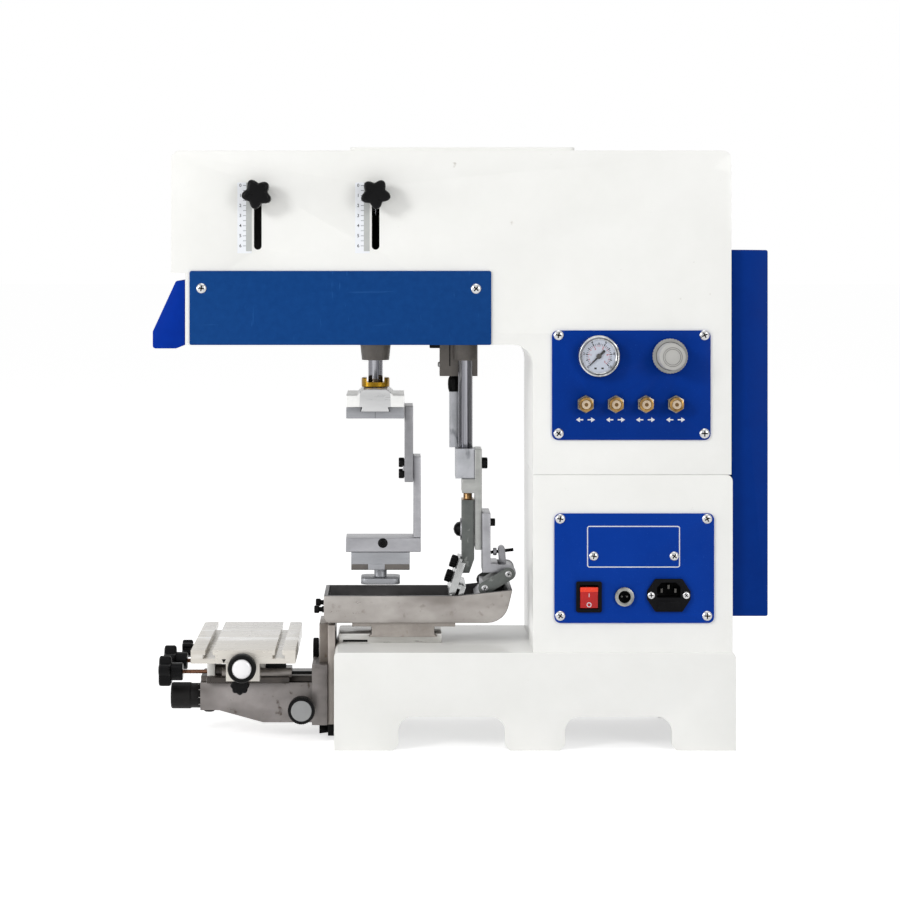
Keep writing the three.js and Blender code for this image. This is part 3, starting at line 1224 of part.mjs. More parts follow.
// Scraper clamp on the shaft, with the bar that keeps it square and the bumper on top
const KEEPER_FRONT = 16.1;
const KEEPER_WIDTH = 9;
const KEEPER_NEAR = 9;
const KEEPER_DEPTH = 10;
const BUMPER_HEIGHT = 16;
const keeperFront = SCRAPER_AXIS - KEEPER_FRONT;
piece('scraper_clamp', join(
  cut(
    box(
      SCRAPER_AXIS - CLAMP_FRONT, clampRight, -CLAMP_DEPTH / 2, CLAMP_DEPTH / 2, clampBottom, clampTop,
    ),
    turnedZ(
      bar(ROD_RADIUS + GAP, clampBottom + CYLINDER_CAP - GAP, clampTop + OVERRUN),
      SCRAPER_AXIS, 0, SMALL_SIDES,
    ),
  ),
  box(
    keeperFront, keeperFront + KEEPER_WIDTH, KEEPER_NEAR, KEEPER_NEAR + KEEPER_DEPTH,
    clampTop - GAP, housingBottom - BUMPER_HEIGHT,
  ),
  turnedZ(
    bar(KEEPER_WIDTH / 2, housingBottom - BUMPER_HEIGHT - KEEPER_WIDTH, housingBottom - GAP),
    keeperFront + KEEPER_WIDTH / 2, KEEPER_NEAR + KEEPER_DEPTH / 2, SMALL_SIDES,
  ),
), LIGHT_ALLOY);

// Blade carrier: a strip down from the clamp with a step under it
const CARRIER_THICKNESS = 6.9;
const CARRIER_DEPTH = 36;
const CARRIER_STEP_HEIGHT = 14.4;
const CARRIER_STEP_FRONT = 3.8;
const CARRIER_CLEARANCE = 49.6;
const bladeTipZ = PLATE_TOP + BLADE_LIFT;
const carrierLeft = clampRight + GAP;
const carrierRight = carrierLeft + CARRIER_THICKNESS;
const carrierBottom = bladeTipZ + CARRIER_CLEARANCE;
const stepTop = clampBottom - GAP;
const stepBottom = stepTop - CARRIER_STEP_HEIGHT;
const carrierFront = SCRAPER_AXIS - CARRIER_STEP_FRONT;
piece('blade_carrier', prismY(
  outline([
    [carrierLeft, carrierBottom],
    [carrierRight, carrierBottom],
    [carrierRight, clampTop],
    [carrierLeft, clampTop],
    [carrierLeft, stepTop],
    [carrierFront, stepTop],
    [carrierFront, stepBottom],
    [carrierLeft, stepBottom],
  ]),
  -CARRIER_DEPTH / 2,
  CARRIER_DEPTH / 2,
), LIGHT_ALLOY);

// Blade holder: a dark bar under the step, its height nut on top and its tilt nut in front
const HOLDER_BAR_WIDTH = 12.6;
const HOLDER_BAR_DEPTH = 28;
const HOLDER_BAR_CLEARANCE = 25.4;
const HOLDER_BAR_CHAMFER = 14.4;
const HEIGHT_NUT_RADIUS = 4.5;
const HEIGHT_NUT_HEIGHT = 7;
const TILT_NUT_DROP = 31.2;
const TILT_WASHER_RADIUS = 11.5;
const TILT_WASHER_THICKNESS = 1.5;
const TILT_NUT_RADIUS = 8;
const TILT_NUT_HEIGHT = 7;
const TILT_NUT_SHOULDER_SHARE = 0.85;
const HOLDER_FOOT_CHAMFER = 5.1;
const holderTop = stepBottom - GAP - HEIGHT_NUT_HEIGHT;
const holderFoot = bladeTipZ + HOLDER_BAR_CLEARANCE;
const holderRight = carrierFront + HOLDER_BAR_WIDTH;
const tiltNutZ = holderTop - TILT_NUT_DROP;
const washerFace = carrierFront - TILT_WASHER_THICKNESS;
piece('blade_holder', join(
  prismY(
    outline([
      [carrierFront, holderFoot],
      [holderRight - HOLDER_FOOT_CHAMFER, holderFoot],
      [holderRight, holderFoot + HOLDER_BAR_CHAMFER],
      [holderRight, holderTop],
      [carrierFront, holderTop],
    ]),
    -HOLDER_BAR_DEPTH / 2,
    HOLDER_BAR_DEPTH / 2,
  ),
  turnedZ(
    bar(HEIGHT_NUT_RADIUS, holderTop - HEIGHT_NUT_RADIUS, holderTop + HEIGHT_NUT_HEIGHT),
    carrierFront + HOLDER_BAR_WIDTH / 2, 0, SMALL_SIDES,
  ),
  turnedX(
    bar(TILT_WASHER_RADIUS, washerFace, carrierFront + TILT_WASHER_THICKNESS), 0, tiltNutZ, SMALL_SIDES,
  ),
  turnedX([
    [0, washerFace - TILT_NUT_HEIGHT],
    [TILT_NUT_RADIUS / 2, washerFace - TILT_NUT_HEIGHT * TILT_NUT_SHOULDER_SHARE],
    [TILT_NUT_RADIUS * TILT_NUT_SHOULDER_SHARE, washerFace - TILT_NUT_HEIGHT / 2],
    [TILT_NUT_RADIUS, washerFace + TILT_WASHER_THICKNESS / 2],
    [0, washerFace + TILT_WASHER_THICKNESS / 2],
  ], 0, tiltNutZ, SMALL_SIDES),
), DARK_ALLOY);

// Doctor blade between its clamp plates, leaning forward, with its two knurled screws.
// The plates are notched to seat on the holder, and a second leg hangs behind them.
const BLADE_LEAN = THREE.MathUtils.degToRad(19);
const BLADE_TIP_FORWARD = 13.3;
const BLADE_WIDTH = 72;
const BLADE_THICKNESS = 1.2;
const BLADE_FREE_LENGTH = 7;
const BLADE_CLAMP_TOP = 41;
const BLADE_CLAMP_THICKNESS = 7;
const REAR_LEG_BOTTOM = 4.6;
const REAR_LEG_TOP = 19;
const REAR_LEG_THICKNESS = 5;
const REAR_LEG_GAP = 3;
const REAR_WEB_HEIGHT = 4.5;
const BLADE_SCREW_RADIUS = 6.5;
const BLADE_SCREW_HEIGHT = 7.5;
const BLADE_SCREW_SHARES = [0.5, 0.86];
const bladeTipX = carrierFront - BLADE_TIP_FORWARD;
const rearLegInside = BLADE_CLAMP_THICKNESS / 2 + REAR_LEG_GAP;
const onBlade = (along, across) => [
  bladeTipX + along * Math.sin(BLADE_LEAN) + across * Math.cos(BLADE_LEAN),
  bladeTipZ + along * Math.cos(BLADE_LEAN) - across * Math.sin(BLADE_LEAN),
];
const bladeScrews = BLADE_SCREW_SHARES.map((share) => {
  const [x, z] = onBlade(share * BLADE_CLAMP_TOP, 0);
  const turn = new THREE.Matrix4().makeTranslation(x, 0, z)
    .multiply(new THREE.Matrix4().makeRotationY(Math.PI + BLADE_LEAN));
  return turnedX(
    bar(BLADE_SCREW_RADIUS, 0, BLADE_CLAMP_THICKNESS / 2 + BLADE_SCREW_HEIGHT), 0, 0, SMALL_SIDES,
  ).transform(turn.elements);
});
piece('doctor_blade', cut(
  join(
    prismY(
      outline([
        onBlade(0, -BLADE_THICKNESS / 2),
        onBlade(0, BLADE_THICKNESS / 2),
        onBlade(BLADE_FREE_LENGTH, BLADE_THICKNESS / 2),
        onBlade(BLADE_FREE_LENGTH, BLADE_CLAMP_THICKNESS / 2),
        onBlade(REAR_LEG_TOP - REAR_WEB_HEIGHT, BLADE_CLAMP_THICKNESS / 2),
        onBlade(REAR_LEG_TOP - REAR_WEB_HEIGHT, rearLegInside),
        onBlade(REAR_LEG_BOTTOM, rearLegInside),
        onBlade(REAR_LEG_BOTTOM, rearLegInside + REAR_LEG_THICKNESS),
        onBlade(REAR_LEG_TOP, rearLegInside + REAR_LEG_THICKNESS),
        onBlade(REAR_LEG_TOP, BLADE_CLAMP_THICKNESS / 2),
        onBlade(BLADE_CLAMP_TOP, BLADE_CLAMP_THICKNESS / 2),
        onBlade(BLADE_CLAMP_TOP, -BLADE_CLAMP_THICKNESS / 2),
        onBlade(BLADE_FREE_LENGTH, -BLADE_CLAMP_THICKNESS / 2),
        onBlade(BLADE_FREE_LENGTH, -BLADE_THICKNESS / 2),
      ]),
      -BLADE_WIDTH / 2,
      BLADE_WIDTH / 2,
    ),
    ...bladeScrews,
  ),
  box(
    carrierFront - GAP, holderRight, -HOLDER_BAR_DEPTH / 2 - GAP, HOLDER_BAR_DEPTH / 2 + GAP,
    holderFoot - GAP, holderTop,
  ),
), LIGHT_ALLOY);

// Flood bracket behind the carrier: an angle with two ears and the pin between them
const BRACKET_THICKNESS = 8.3;
const BRACKET_DEPTH = 50;
const BRACKET_TOP_CLEARANCE = 87.8;
const BRACKET_FOOT_CLEARANCE = 27;
const BRACKET_FOOT_HEIGHT = 9;
const EAR_RADIUS = 8;
const EAR_DEPTH = 7.5;
const PIVOT_REACH = 26.2;
const PIVOT_PIN_RADIUS = 3;
const FOOT_RELIEF = 4;
const bracketLeft = carrierRight + GAP;
const bracketRight = bracketLeft + BRACKET_THICKNESS;
const bracketTop = bladeTipZ + BRACKET_TOP_CLEARANCE;
const pivotX = bracketLeft + PIVOT_REACH;
const pivotZ = bladeTipZ + BRACKET_FOOT_CLEARANCE;
const footTop = pivotZ + BRACKET_FOOT_HEIGHT;
const earSides = [-1, 1].map((side) => {
  const outer = (side * BRACKET_DEPTH) / 2;
  const inner = outer - side * EAR_DEPTH;
  const [near, far] = [Math.min(outer, inner), Math.max(outer, inner)];
  return join(
    box(bracketLeft, pivotX, near, far, pivotZ, pivotZ + EAR_RADIUS),
    turnedY(bar(EAR_RADIUS, near, far), pivotX, pivotZ, SMALL_SIDES),
  );
});
piece('flood_bracket', join(
  box(bracketLeft, bracketRight, -BRACKET_DEPTH / 2, BRACKET_DEPTH / 2, pivotZ, bracketTop),
  box(
    bracketLeft, pivotX - EAR_RADIUS - FOOT_RELIEF / 2, -BRACKET_DEPTH / 2, BRACKET_DEPTH / 2,
    pivotZ + FOOT_RELIEF, footTop,
  ),
  ...earSides,
  turnedY(
    bar(PIVOT_PIN_RADIUS, -BRACKET_DEPTH / 2 + EAR_DEPTH / 2, BRACKET_DEPTH / 2 - EAR_DEPTH / 2),
    pivotX, pivotZ, SMALL_SIDES,
  ),
), LIGHT_ALLOY);

// Flood lever on that pin: an arm down to the flood blade with a plate at either end of the blade,
// and a lug with its set screw
const HUB_RADIUS = 7.2;
const ARM_THICKNESS = 8;
const ARM_FORWARD = 24.1;
const ARM_DROP = 14.3;
const LUG_WIDTH = 7;
const LUG_DEPTH = 16;
const LUG_HEIGHT = 25;
const SET_SCREW_RADIUS = 1.8;
const SET_SCREW_LENGTH = 24;
const SET_SCREW_HEIGHT = 19.4;
const FLOOD_BAR_SIZE = 8;
const FLOOD_WIDTH = 68;
const FLOOD_BLADE_LENGTH = 10;
const FLOOD_BLADE_THICKNESS = 1.2;
const FLOOD_ARM_RADIUS = 6.5;
const FLOOD_ARM_SHEET = 2;
const hubDepth = BRACKET_DEPTH - 2 * EAR_DEPTH - 2 * GAP;
const armEndX = pivotX - ARM_FORWARD;
const armEndZ = pivotZ - ARM_DROP;
const armLength = Math.hypot(ARM_FORWARD, ARM_DROP);
const armSide = [ARM_DROP, ARM_FORWARD].map((run) => ((run / armLength) * ARM_THICKNESS) / 2);
const armRun = [ARM_FORWARD, ARM_DROP].map((run) => (run / armLength) * FLOOD_ARM_RADIUS);
const armCorner = (x, z, way, side) => [
  x + way * armRun[0] - side * armRun[1],
  z + way * armRun[1] + side * armRun[0],
  FLOOD_ARM_RADIUS - GAP,
];
const armPlates = [-1, 1].map((side) => {
  const inside = (side * FLOOD_WIDTH) / 2 - (side * FLOOD_ARM_SHEET) / 2;
  const outside = inside + side * FLOOD_ARM_SHEET;
  const pinStart = side * (BRACKET_DEPTH / 2 + GAP);
  const pinEnd = (inside + outside) / 2;
  return join(
    prismY(
      outline([
        armCorner(pivotX, pivotZ, 1, 1),
        armCorner(armEndX, armEndZ, -1, 1),
        armCorner(armEndX, armEndZ, -1, -1),
        armCorner(pivotX, pivotZ, 1, -1),
      ]),
      Math.min(inside, outside),
      Math.max(inside, outside),
    ),
    turnedY(
      bar(PIVOT_PIN_RADIUS, Math.min(pinStart, pinEnd), Math.max(pinStart, pinEnd)),
      pivotX, pivotZ, SMALL_SIDES,
    ),
  );
});
piece('flood_lever', cut(
  join(
    turnedY(bar(HUB_RADIUS, -hubDepth / 2, hubDepth / 2), pivotX, pivotZ, SMALL_SIDES),
    prismY(
      outline([
        [pivotX - armSide[0], pivotZ + armSide[1]],
        [armEndX - armSide[0], armEndZ + armSide[1]],
        [armEndX + armSide[0], armEndZ - armSide[1]],
        [pivotX + armSide[0], pivotZ - armSide[1]],
      ]),
      -hubDepth / 2,
      hubDepth / 2,
    ),
    box(
      pivotX - EAR_RADIUS, pivotX - EAR_RADIUS + LUG_WIDTH, -LUG_DEPTH / 2, LUG_DEPTH / 2,
      pivotZ + PIVOT_PIN_RADIUS, pivotZ + LUG_HEIGHT,
    ),
    turnedX(
      bar(SET_SCREW_RADIUS, bracketRight + GAP, bracketRight + GAP + SET_SCREW_LENGTH),
      0, pivotZ + SET_SCREW_HEIGHT, SMALL_SIDES / 2,
    ),
    box(
      armEndX - FLOOD_BAR_SIZE / 2, armEndX + FLOOD_BAR_SIZE / 2, -FLOOD_WIDTH / 2, FLOOD_WIDTH / 2,
      armEndZ - FLOOD_BAR_SIZE / 2, armEndZ + FLOOD_BAR_SIZE / 2,
    ),
    prismY(
      outline([
        [armEndX, armEndZ],
        [armEndX - FLOOD_BLADE_LENGTH, armEndZ - FLOOD_BLADE_LENGTH],
        [armEndX - FLOOD_BLADE_LENGTH + FLOOD_BLADE_THICKNESS, armEndZ - FLOOD_BLADE_LENGTH],
        [armEndX + 2 * FLOOD_BLADE_THICKNESS, armEndZ],
      ]),
      -FLOOD_WIDTH / 2,
      FLOOD_WIDTH / 2,
    ),
    ...armPlates,
  ),
  turnedY(
    bar(PIVOT_PIN_RADIUS + GAP, -BRACKET_DEPTH / 2, BRACKET_DEPTH / 2), pivotX, pivotZ, SMALL_SIDES,
  ),
), MACHINED_IRON);

// Ink tray: a cast trough whose rear end curves up, with two clamp screws in its front end
const TRAY_REACH = 209.2;
const TRAY_REAR_GAP = 18.2;
const TRAY_WIDTH = 84;
const TRAY_WALL = 4;
const TRAY_RIM = 27.6;
const TRAY_LIP_RISE = 6;
const TRAY_LIP_LENGTH = 55;
const TRAY_TAIL = 8;
const TRAY_TAIL_RADIUS = 24;
const TRAY_NOSE_RADIUS = 6;
const TRAY_SCREW_RADIUS = 3.5;
const TRAY_SCREW_LENGTH = 10.2;
const TRAY_SCREW_RISE = 11.6;
const TRAY_SCREW_SPREAD = 50;
const trayLeft = COLUMN_FRONT - TRAY_REACH;
const trayRight = COLUMN_FRONT - TRAY_REAR_GAP;
const rim = TRAY_BOTTOM + TRAY_RIM;
const lip = rim + TRAY_LIP_RISE;
const floor = TRAY_BOTTOM + TRAY_FLOOR;
const traySlope = TRAY_TAIL / (lip - TRAY_BOTTOM);
piece('ink_tray', join(
  cut(
    prismY(
      outline([
        [trayLeft, TRAY_BOTTOM, TRAY_NOSE_RADIUS],
        [trayRight - TRAY_TAIL, TRAY_BOTTOM, TRAY_TAIL_RADIUS],
        [trayRight, lip],
        [trayRight - TRAY_LIP_LENGTH, rim],
        [trayLeft, rim],
      ]),
      -TRAY_WIDTH / 2,
      TRAY_WIDTH / 2,
    ),
    prismY(
      outline([
        [trayLeft + TRAY_WALL, floor],
        [trayRight - TRAY_TAIL - TRAY_WALL, floor, TRAY_TAIL_RADIUS - TRAY_WALL],
        [trayRight - TRAY_WALL + traySlope * OVERRUN, lip + OVERRUN],
        [trayLeft + TRAY_WALL, lip + OVERRUN],
      ]),
      TRAY_WALL - TRAY_WIDTH / 2,
      TRAY_WIDTH / 2 - TRAY_WALL,
    ),
  ),
  ...[-1, 1].map((side) => turnedX(
    bar(TRAY_SCREW_RADIUS, trayLeft - TRAY_SCREW_LENGTH, trayLeft + TRAY_WALL / 2),
    (side * TRAY_SCREW_SPREAD) / 2, TRAY_BOTTOM + TRAY_SCREW_RISE, SMALL_SIDES,
  )),
), CAST_METAL);

// Printing plate in the tray
const PLATE_REAR_GAP = 36.7;
const PLATE_WIDTH = 75;
piece('printing_plate', box(
  trayLeft + TRAY_WALL + GAP, trayRight - PLATE_REAR_GAP,
  -PLATE_WIDTH / 2, PLATE_WIDTH / 2, floor + GAP, PLATE_TOP,
), STEEL);

// Tray adapter, with the tongue that sits in the bed
const BED_SETBACK = 3.4;
const ADAPTER_FRONT = 13.6;
const ADAPTER_LENGTH = 104.6;
const ADAPTER_WIDTH = 72;
const ADAPTER_THICKNESS = 4.4;
const ADAPTER_TONGUE_FRONT = 19.9;
const ADAPTER_TONGUE_LENGTH = 63.4;
const ADAPTER_TONGUE_FLARE = 2.8;
const BED_GROOVE_DEPTH = 2.6;
const bedTop = BASE_HEIGHT + BED_HEIGHT;
const bedLeft = BASE_FRONT + BED_SETBACK;
const adapterLeft = bedLeft + ADAPTER_FRONT;
const adapterBottom = TRAY_BOTTOM - ADAPTER_THICKNESS;
const tongueLeft = adapterLeft + ADAPTER_TONGUE_FRONT;
const tongueRight = tongueLeft + ADAPTER_TONGUE_LENGTH;
const grooveFloor = bedTop - BED_GROOVE_DEPTH;
piece('tray_adapter', prismY(
  outline([
    [tongueLeft - ADAPTER_TONGUE_FLARE, grooveFloor + GAP],
    [tongueRight + ADAPTER_TONGUE_FLARE, grooveFloor + GAP],
    [tongueRight, bedTop + GAP],
    [tongueRight, adapterBottom],
    [adapterLeft + ADAPTER_LENGTH, adapterBottom],
    [adapterLeft + ADAPTER_LENGTH, TRAY_BOTTOM],
    [adapterLeft, TRAY_BOTTOM],
    [adapterLeft, adapterBottom],
    [tongueLeft, adapterBottom],
    [tongueLeft, bedTop + GAP],
  ]),
  -ADAPTER_WIDTH / 2,
  ADAPTER_WIDTH / 2,
), MACHINED_IRON);

// Bed on the base, with the groove for that tongue
const BED_LENGTH = 104.5;
const BED_WIDTH = 56;
piece('tray_bed', cut(
  box(bedLeft, bedLeft + BED_LENGTH, -BED_WIDTH / 2, BED_WIDTH / 2, BASE_HEIGHT, bedTop),
  prismY(
    outline([
      [tongueLeft - ADAPTER_TONGUE_FLARE - 2 * GAP, grooveFloor],
      [tongueRight + ADAPTER_TONGUE_FLARE + 2 * GAP, grooveFloor],
      [tongueRight + 2 * GAP, bedTop],
      [tongueRight + 2 * GAP, bedTop + OVERRUN],
      [tongueLeft - 2 * GAP, bedTop + OVERRUN],
      [tongueLeft - 2 * GAP, bedTop],
    ]),
    -BED_WIDTH,
    BED_WIDTH,
  ),
), MACHINED_IRON);

// Slideway on the front of the base, a dovetail that stands upright
const WAY_STRIP = 7.2;
const WAY_WIDTH = 80;
const WAY_RAIL = 9;
const WAY_NECK = 44;
const WAY_FACE = 56;
const WAY_BOTTOM = 4.9;
const WAY_HEIGHT = 112;
const wayBack = BASE_FRONT - GAP;
const wayStripFace = wayBack - WAY_STRIP;
const wayFace = wayStripFace - WAY_RAIL;
piece('slideway', prismZ(
  outline([
    [wayBack, -WAY_WIDTH / 2],
    [wayBack, WAY_WIDTH / 2],
    [wayStripFace, WAY_WIDTH / 2],
    [wayStripFace, WAY_NECK / 2],
    [wayFace, WAY_FACE / 2],
    [wayFace, -WAY_FACE / 2],
    [wayStripFace, -WAY_NECK / 2],
    [wayStripFace, -WAY_WIDTH / 2],
  ]),
  WAY_BOTTOM,
  WAY_BOTTOM + WAY_HEIGHT,
), MACHINED_IRON);

// Knee: an iron bracket that climbs the slideway and carries the work table on the way along its arm
const KNEE_BLOCK_LENGTH = 15.7;
const KNEE_BLOCK_WIDTH = 90;
const KNEE_BLOCK_BOTTOM = 11.7;
const KNEE_BLOCK_HEIGHT = 60.8;
const KNEE_WIDTH = 60;
const KNEE_LENGTH = 114;
const KNEE_TOP = 52.4;
const KNEE_NOSE_HEIGHT = 28.3;
const KNEE_NOSE_LENGTH = 19;
const KNEE_SLOPE_LENGTH = 45.3;
const KNEE_WAY_WIDTH = 48;
const KNEE_WAY_HEIGHT = 5.5;
const WHEEL_DROP = 18.3;
const WHEEL_SHAFT_RADIUS = 4;
const WHEEL_SHAFT_LENGTH = 35;
const LOCK_BOSS_RADIUS = 9;
const LOCK_FORWARD = 9.9;
const LOCK_RISE = 18.3;
const LOCK_STUD_RADIUS = 3;
const LOCK_STUD_LENGTH = 12;
const kneeRight = wayStripFace - GAP;
const kneeBack = kneeRight - KNEE_BLOCK_LENGTH;
const kneeLeft = kneeBack - KNEE_LENGTH;
const kneeFoot = WAY_BOTTOM + KNEE_BLOCK_BOTTOM;
const kneeTop = WAY_BOTTOM + KNEE_TOP;
const kneeWayTop = kneeTop + KNEE_WAY_HEIGHT;
const wheelZ = kneeTop - WHEEL_DROP;
const lockX = kneeBack - LOCK_FORWARD;
const lockZ = kneeFoot + LOCK_RISE;
const lockBossFace = -KNEE_BLOCK_WIDTH / 2 - 2 * GAP;
piece('knee', cut(
  join(
    box(
      kneeBack, kneeRight, -KNEE_BLOCK_WIDTH / 2, KNEE_BLOCK_WIDTH / 2,
      kneeFoot, kneeFoot + KNEE_BLOCK_HEIGHT,
    ),
    prismY(
      outline([
        [kneeLeft, kneeTop - KNEE_NOSE_HEIGHT],
        [kneeLeft + KNEE_NOSE_LENGTH, kneeTop - KNEE_NOSE_HEIGHT],
        [kneeLeft + KNEE_NOSE_LENGTH + KNEE_SLOPE_LENGTH, kneeFoot],
        [kneeBack + GAP, kneeFoot],
        [kneeBack + GAP, kneeTop],
        [kneeLeft, kneeTop],
      ]),
      -KNEE_WIDTH / 2,
      KNEE_WIDTH / 2,
    ),
    box(
      kneeLeft + GAP, kneeBack + GAP, -KNEE_WAY_WIDTH / 2, KNEE_WAY_WIDTH / 2,
      kneeTop - GAP, kneeWayTop,
    ),
    turnedY(bar(LOCK_BOSS_RADIUS, lockBossFace, 0), lockX, lockZ, SMALL_SIDES),
  ),
  prismZ(
    outline([
      [kneeRight + OVERRUN, WAY_NECK / 2 + 2 * GAP],
      [kneeRight, WAY_NECK / 2 + 2 * GAP],
      [wayFace - GAP, WAY_FACE / 2 + 2 * GAP],
      [wayFace - GAP, -WAY_FACE / 2 - 2 * GAP],
      [kneeRight, -WAY_NECK / 2 - 2 * GAP],
      [kneeRight + OVERRUN, -WAY_NECK / 2 - 2 * GAP],
    ]),
    kneeFoot - OVERRUN,
    kneeFoot + KNEE_BLOCK_HEIGHT + OVERRUN,
  ),
  turnedX(
    bar(WHEEL_SHAFT_RADIUS + GAP, kneeLeft - OVERRUN, kneeLeft + WHEEL_SHAFT_LENGTH + GAP),
    0, wheelZ, SMALL_SIDES,
  ),
  turnedY(
    bar(LOCK_STUD_RADIUS + GAP, lockBossFace - OVERRUN, lockBossFace + LOCK_STUD_LENGTH + GAP),
    lockX, lockZ, SMALL_SIDES,
  ),
), MACHINED_IRON);

// Height wheel with its graduated sleeve
const WHEEL_RADIUS = 13.4;
const WHEEL_LENGTH = 20.6;
const SLEEVE_RADIUS = 12.5;
const SLEEVE_LENGTH = 10.9;
const sleeveRight = kneeLeft - GAP;
const sleeveLeft = sleeveRight - SLEEVE_LENGTH;
piece('height_wheel', turnedX([
  [0, sleeveLeft - WHEEL_LENGTH],
  [WHEEL_RADIUS, sleeveLeft - WHEEL_LENGTH],
  [WHEEL_RADIUS, sleeveLeft],
  [SLEEVE_RADIUS, sleeveLeft],
  [SLEEVE_RADIUS, sleeveRight],
  [WHEEL_SHAFT_RADIUS, sleeveRight],
  [WHEEL_SHAFT_RADIUS, kneeLeft + WHEEL_SHAFT_LENGTH],
  [0, kneeLeft + WHEEL_SHAFT_LENGTH],
], 0, wheelZ), BLACK_PLASTIC);

// Knee lock: a round knob whose stud clamps the knee on the slideway
const LOCK_KNOB_RADIUS = 13.7;
const LOCK_KNOB_LENGTH = 22;
const lockKnobBack = lockBossFace - GAP;
piece('knee_lock_knob', turnedY([
  [0, lockKnobBack - LOCK_KNOB_LENGTH],
  [LOCK_KNOB_RADIUS, lockKnobBack - LOCK_KNOB_LENGTH],
  [LOCK_KNOB_RADIUS, lockKnobBack],
  [LOCK_STUD_RADIUS, lockKnobBack],
  [LOCK_STUD_RADIUS, lockBossFace + LOCK_STUD_LENGTH],
  [0, lockBossFace + LOCK_STUD_LENGTH],
], lockX, lockZ), BLACK_PLASTIC);

// Saddle: it straddles the knee's way, slides along it and carries the table's cross slide
const SADDLE_LEFT = 7;
const SADDLE_LENGTH = 84;
const SADDLE_WIDTH = 76;
const SADDLE_PLATE = 6.4;
const RISER_LEFT = 27;
const RISER_LENGTH = 56;
const RISER_WIDTH = 56;
const RISER_HEIGHT = 22.8;
const TABLE_TONGUE_NECK = 36;
const TABLE_TONGUE_FLARE = 2.4;
const TABLE_TONGUE_HEIGHT = 4.5;
const LUG_THICKNESS = 8;
const LUG_NEAR = 30;
const LUG_FAR = 72;
const LUG_TOP = 26;
const SIDE_ROD_RADIUS = 5;
const SIDE_ROD_LEFT = 22.5;
const SIDE_ROD_LENGTH = 70.8;
const LEAD_SCREW_RADIUS = 2.15;
const LEAD_SCREW_OFFSET = 20;
const LEAD_SCREW_RISE = 9.5;
const TABLE_SCREW_RADIUS = 2;
const TABLE_SCREW_CLEARANCE = 2.5;
const TABLE_SCREW_SHARE = 0.36;
const CROSS_TRAVEL = 8;
const saddleLeft = kneeLeft + SADDLE_LEFT;
const saddleBottom = kneeTop + GAP;
const saddlePlateTop = saddleBottom + SADDLE_PLATE;
const riserLeft = kneeLeft + RISER_LEFT;
const riserTop = saddlePlateTop + RISER_HEIGHT;
const tableBottom = riserTop + GAP;
const riserMiddle = riserLeft + RISER_LENGTH / 2;
const leadZ = kneeTop + LEAD_SCREW_RISE;
const tableScrewX = riserLeft + TABLE_SCREW_SHARE * RISER_LENGTH;
const tableScrewZ = tableBottom - TABLE_SCREW_CLEARANCE;
const tableScrewEnd = -RISER_WIDTH / 2 + CROSS_TRAVEL;
const lugRight = saddleLeft + LUG_THICKNESS;

// Star, round and lobed knobs that work on the saddle
const TABLE_LOCK_OFFSET = 38;
const TABLE_LOCK_RISE = 11.1;
const TABLE_LOCK_STUD = 3;
const SMALL_LOCK_OFFSET = 62;
const SMALL_LOCK_RISE = 19.7;
const SMALL_LOCK_STUD = 2.5;
const SADDLE_LOCK_STUD = 2.4;
const SADDLE_LOCK_SHARE = 0.28;
const SADDLE_LOCK_STUD_LENGTH = 8;
const tableLockZ = kneeTop + TABLE_LOCK_RISE;
const smallLockZ = kneeTop + SMALL_LOCK_RISE;
const saddleLockX = riserLeft + SADDLE_LOCK_SHARE * RISER_LENGTH;
const saddleLockZ = saddleBottom + SADDLE_PLATE / 2;
const saddleNear = -SADDLE_WIDTH / 2;
const lugBore = (radius, y, z) => turnedX(
  bar(radius + GAP, saddleLeft - OVERRUN, lugRight + OVERRUN), y, z, SMALL_SIDES / 2,
);
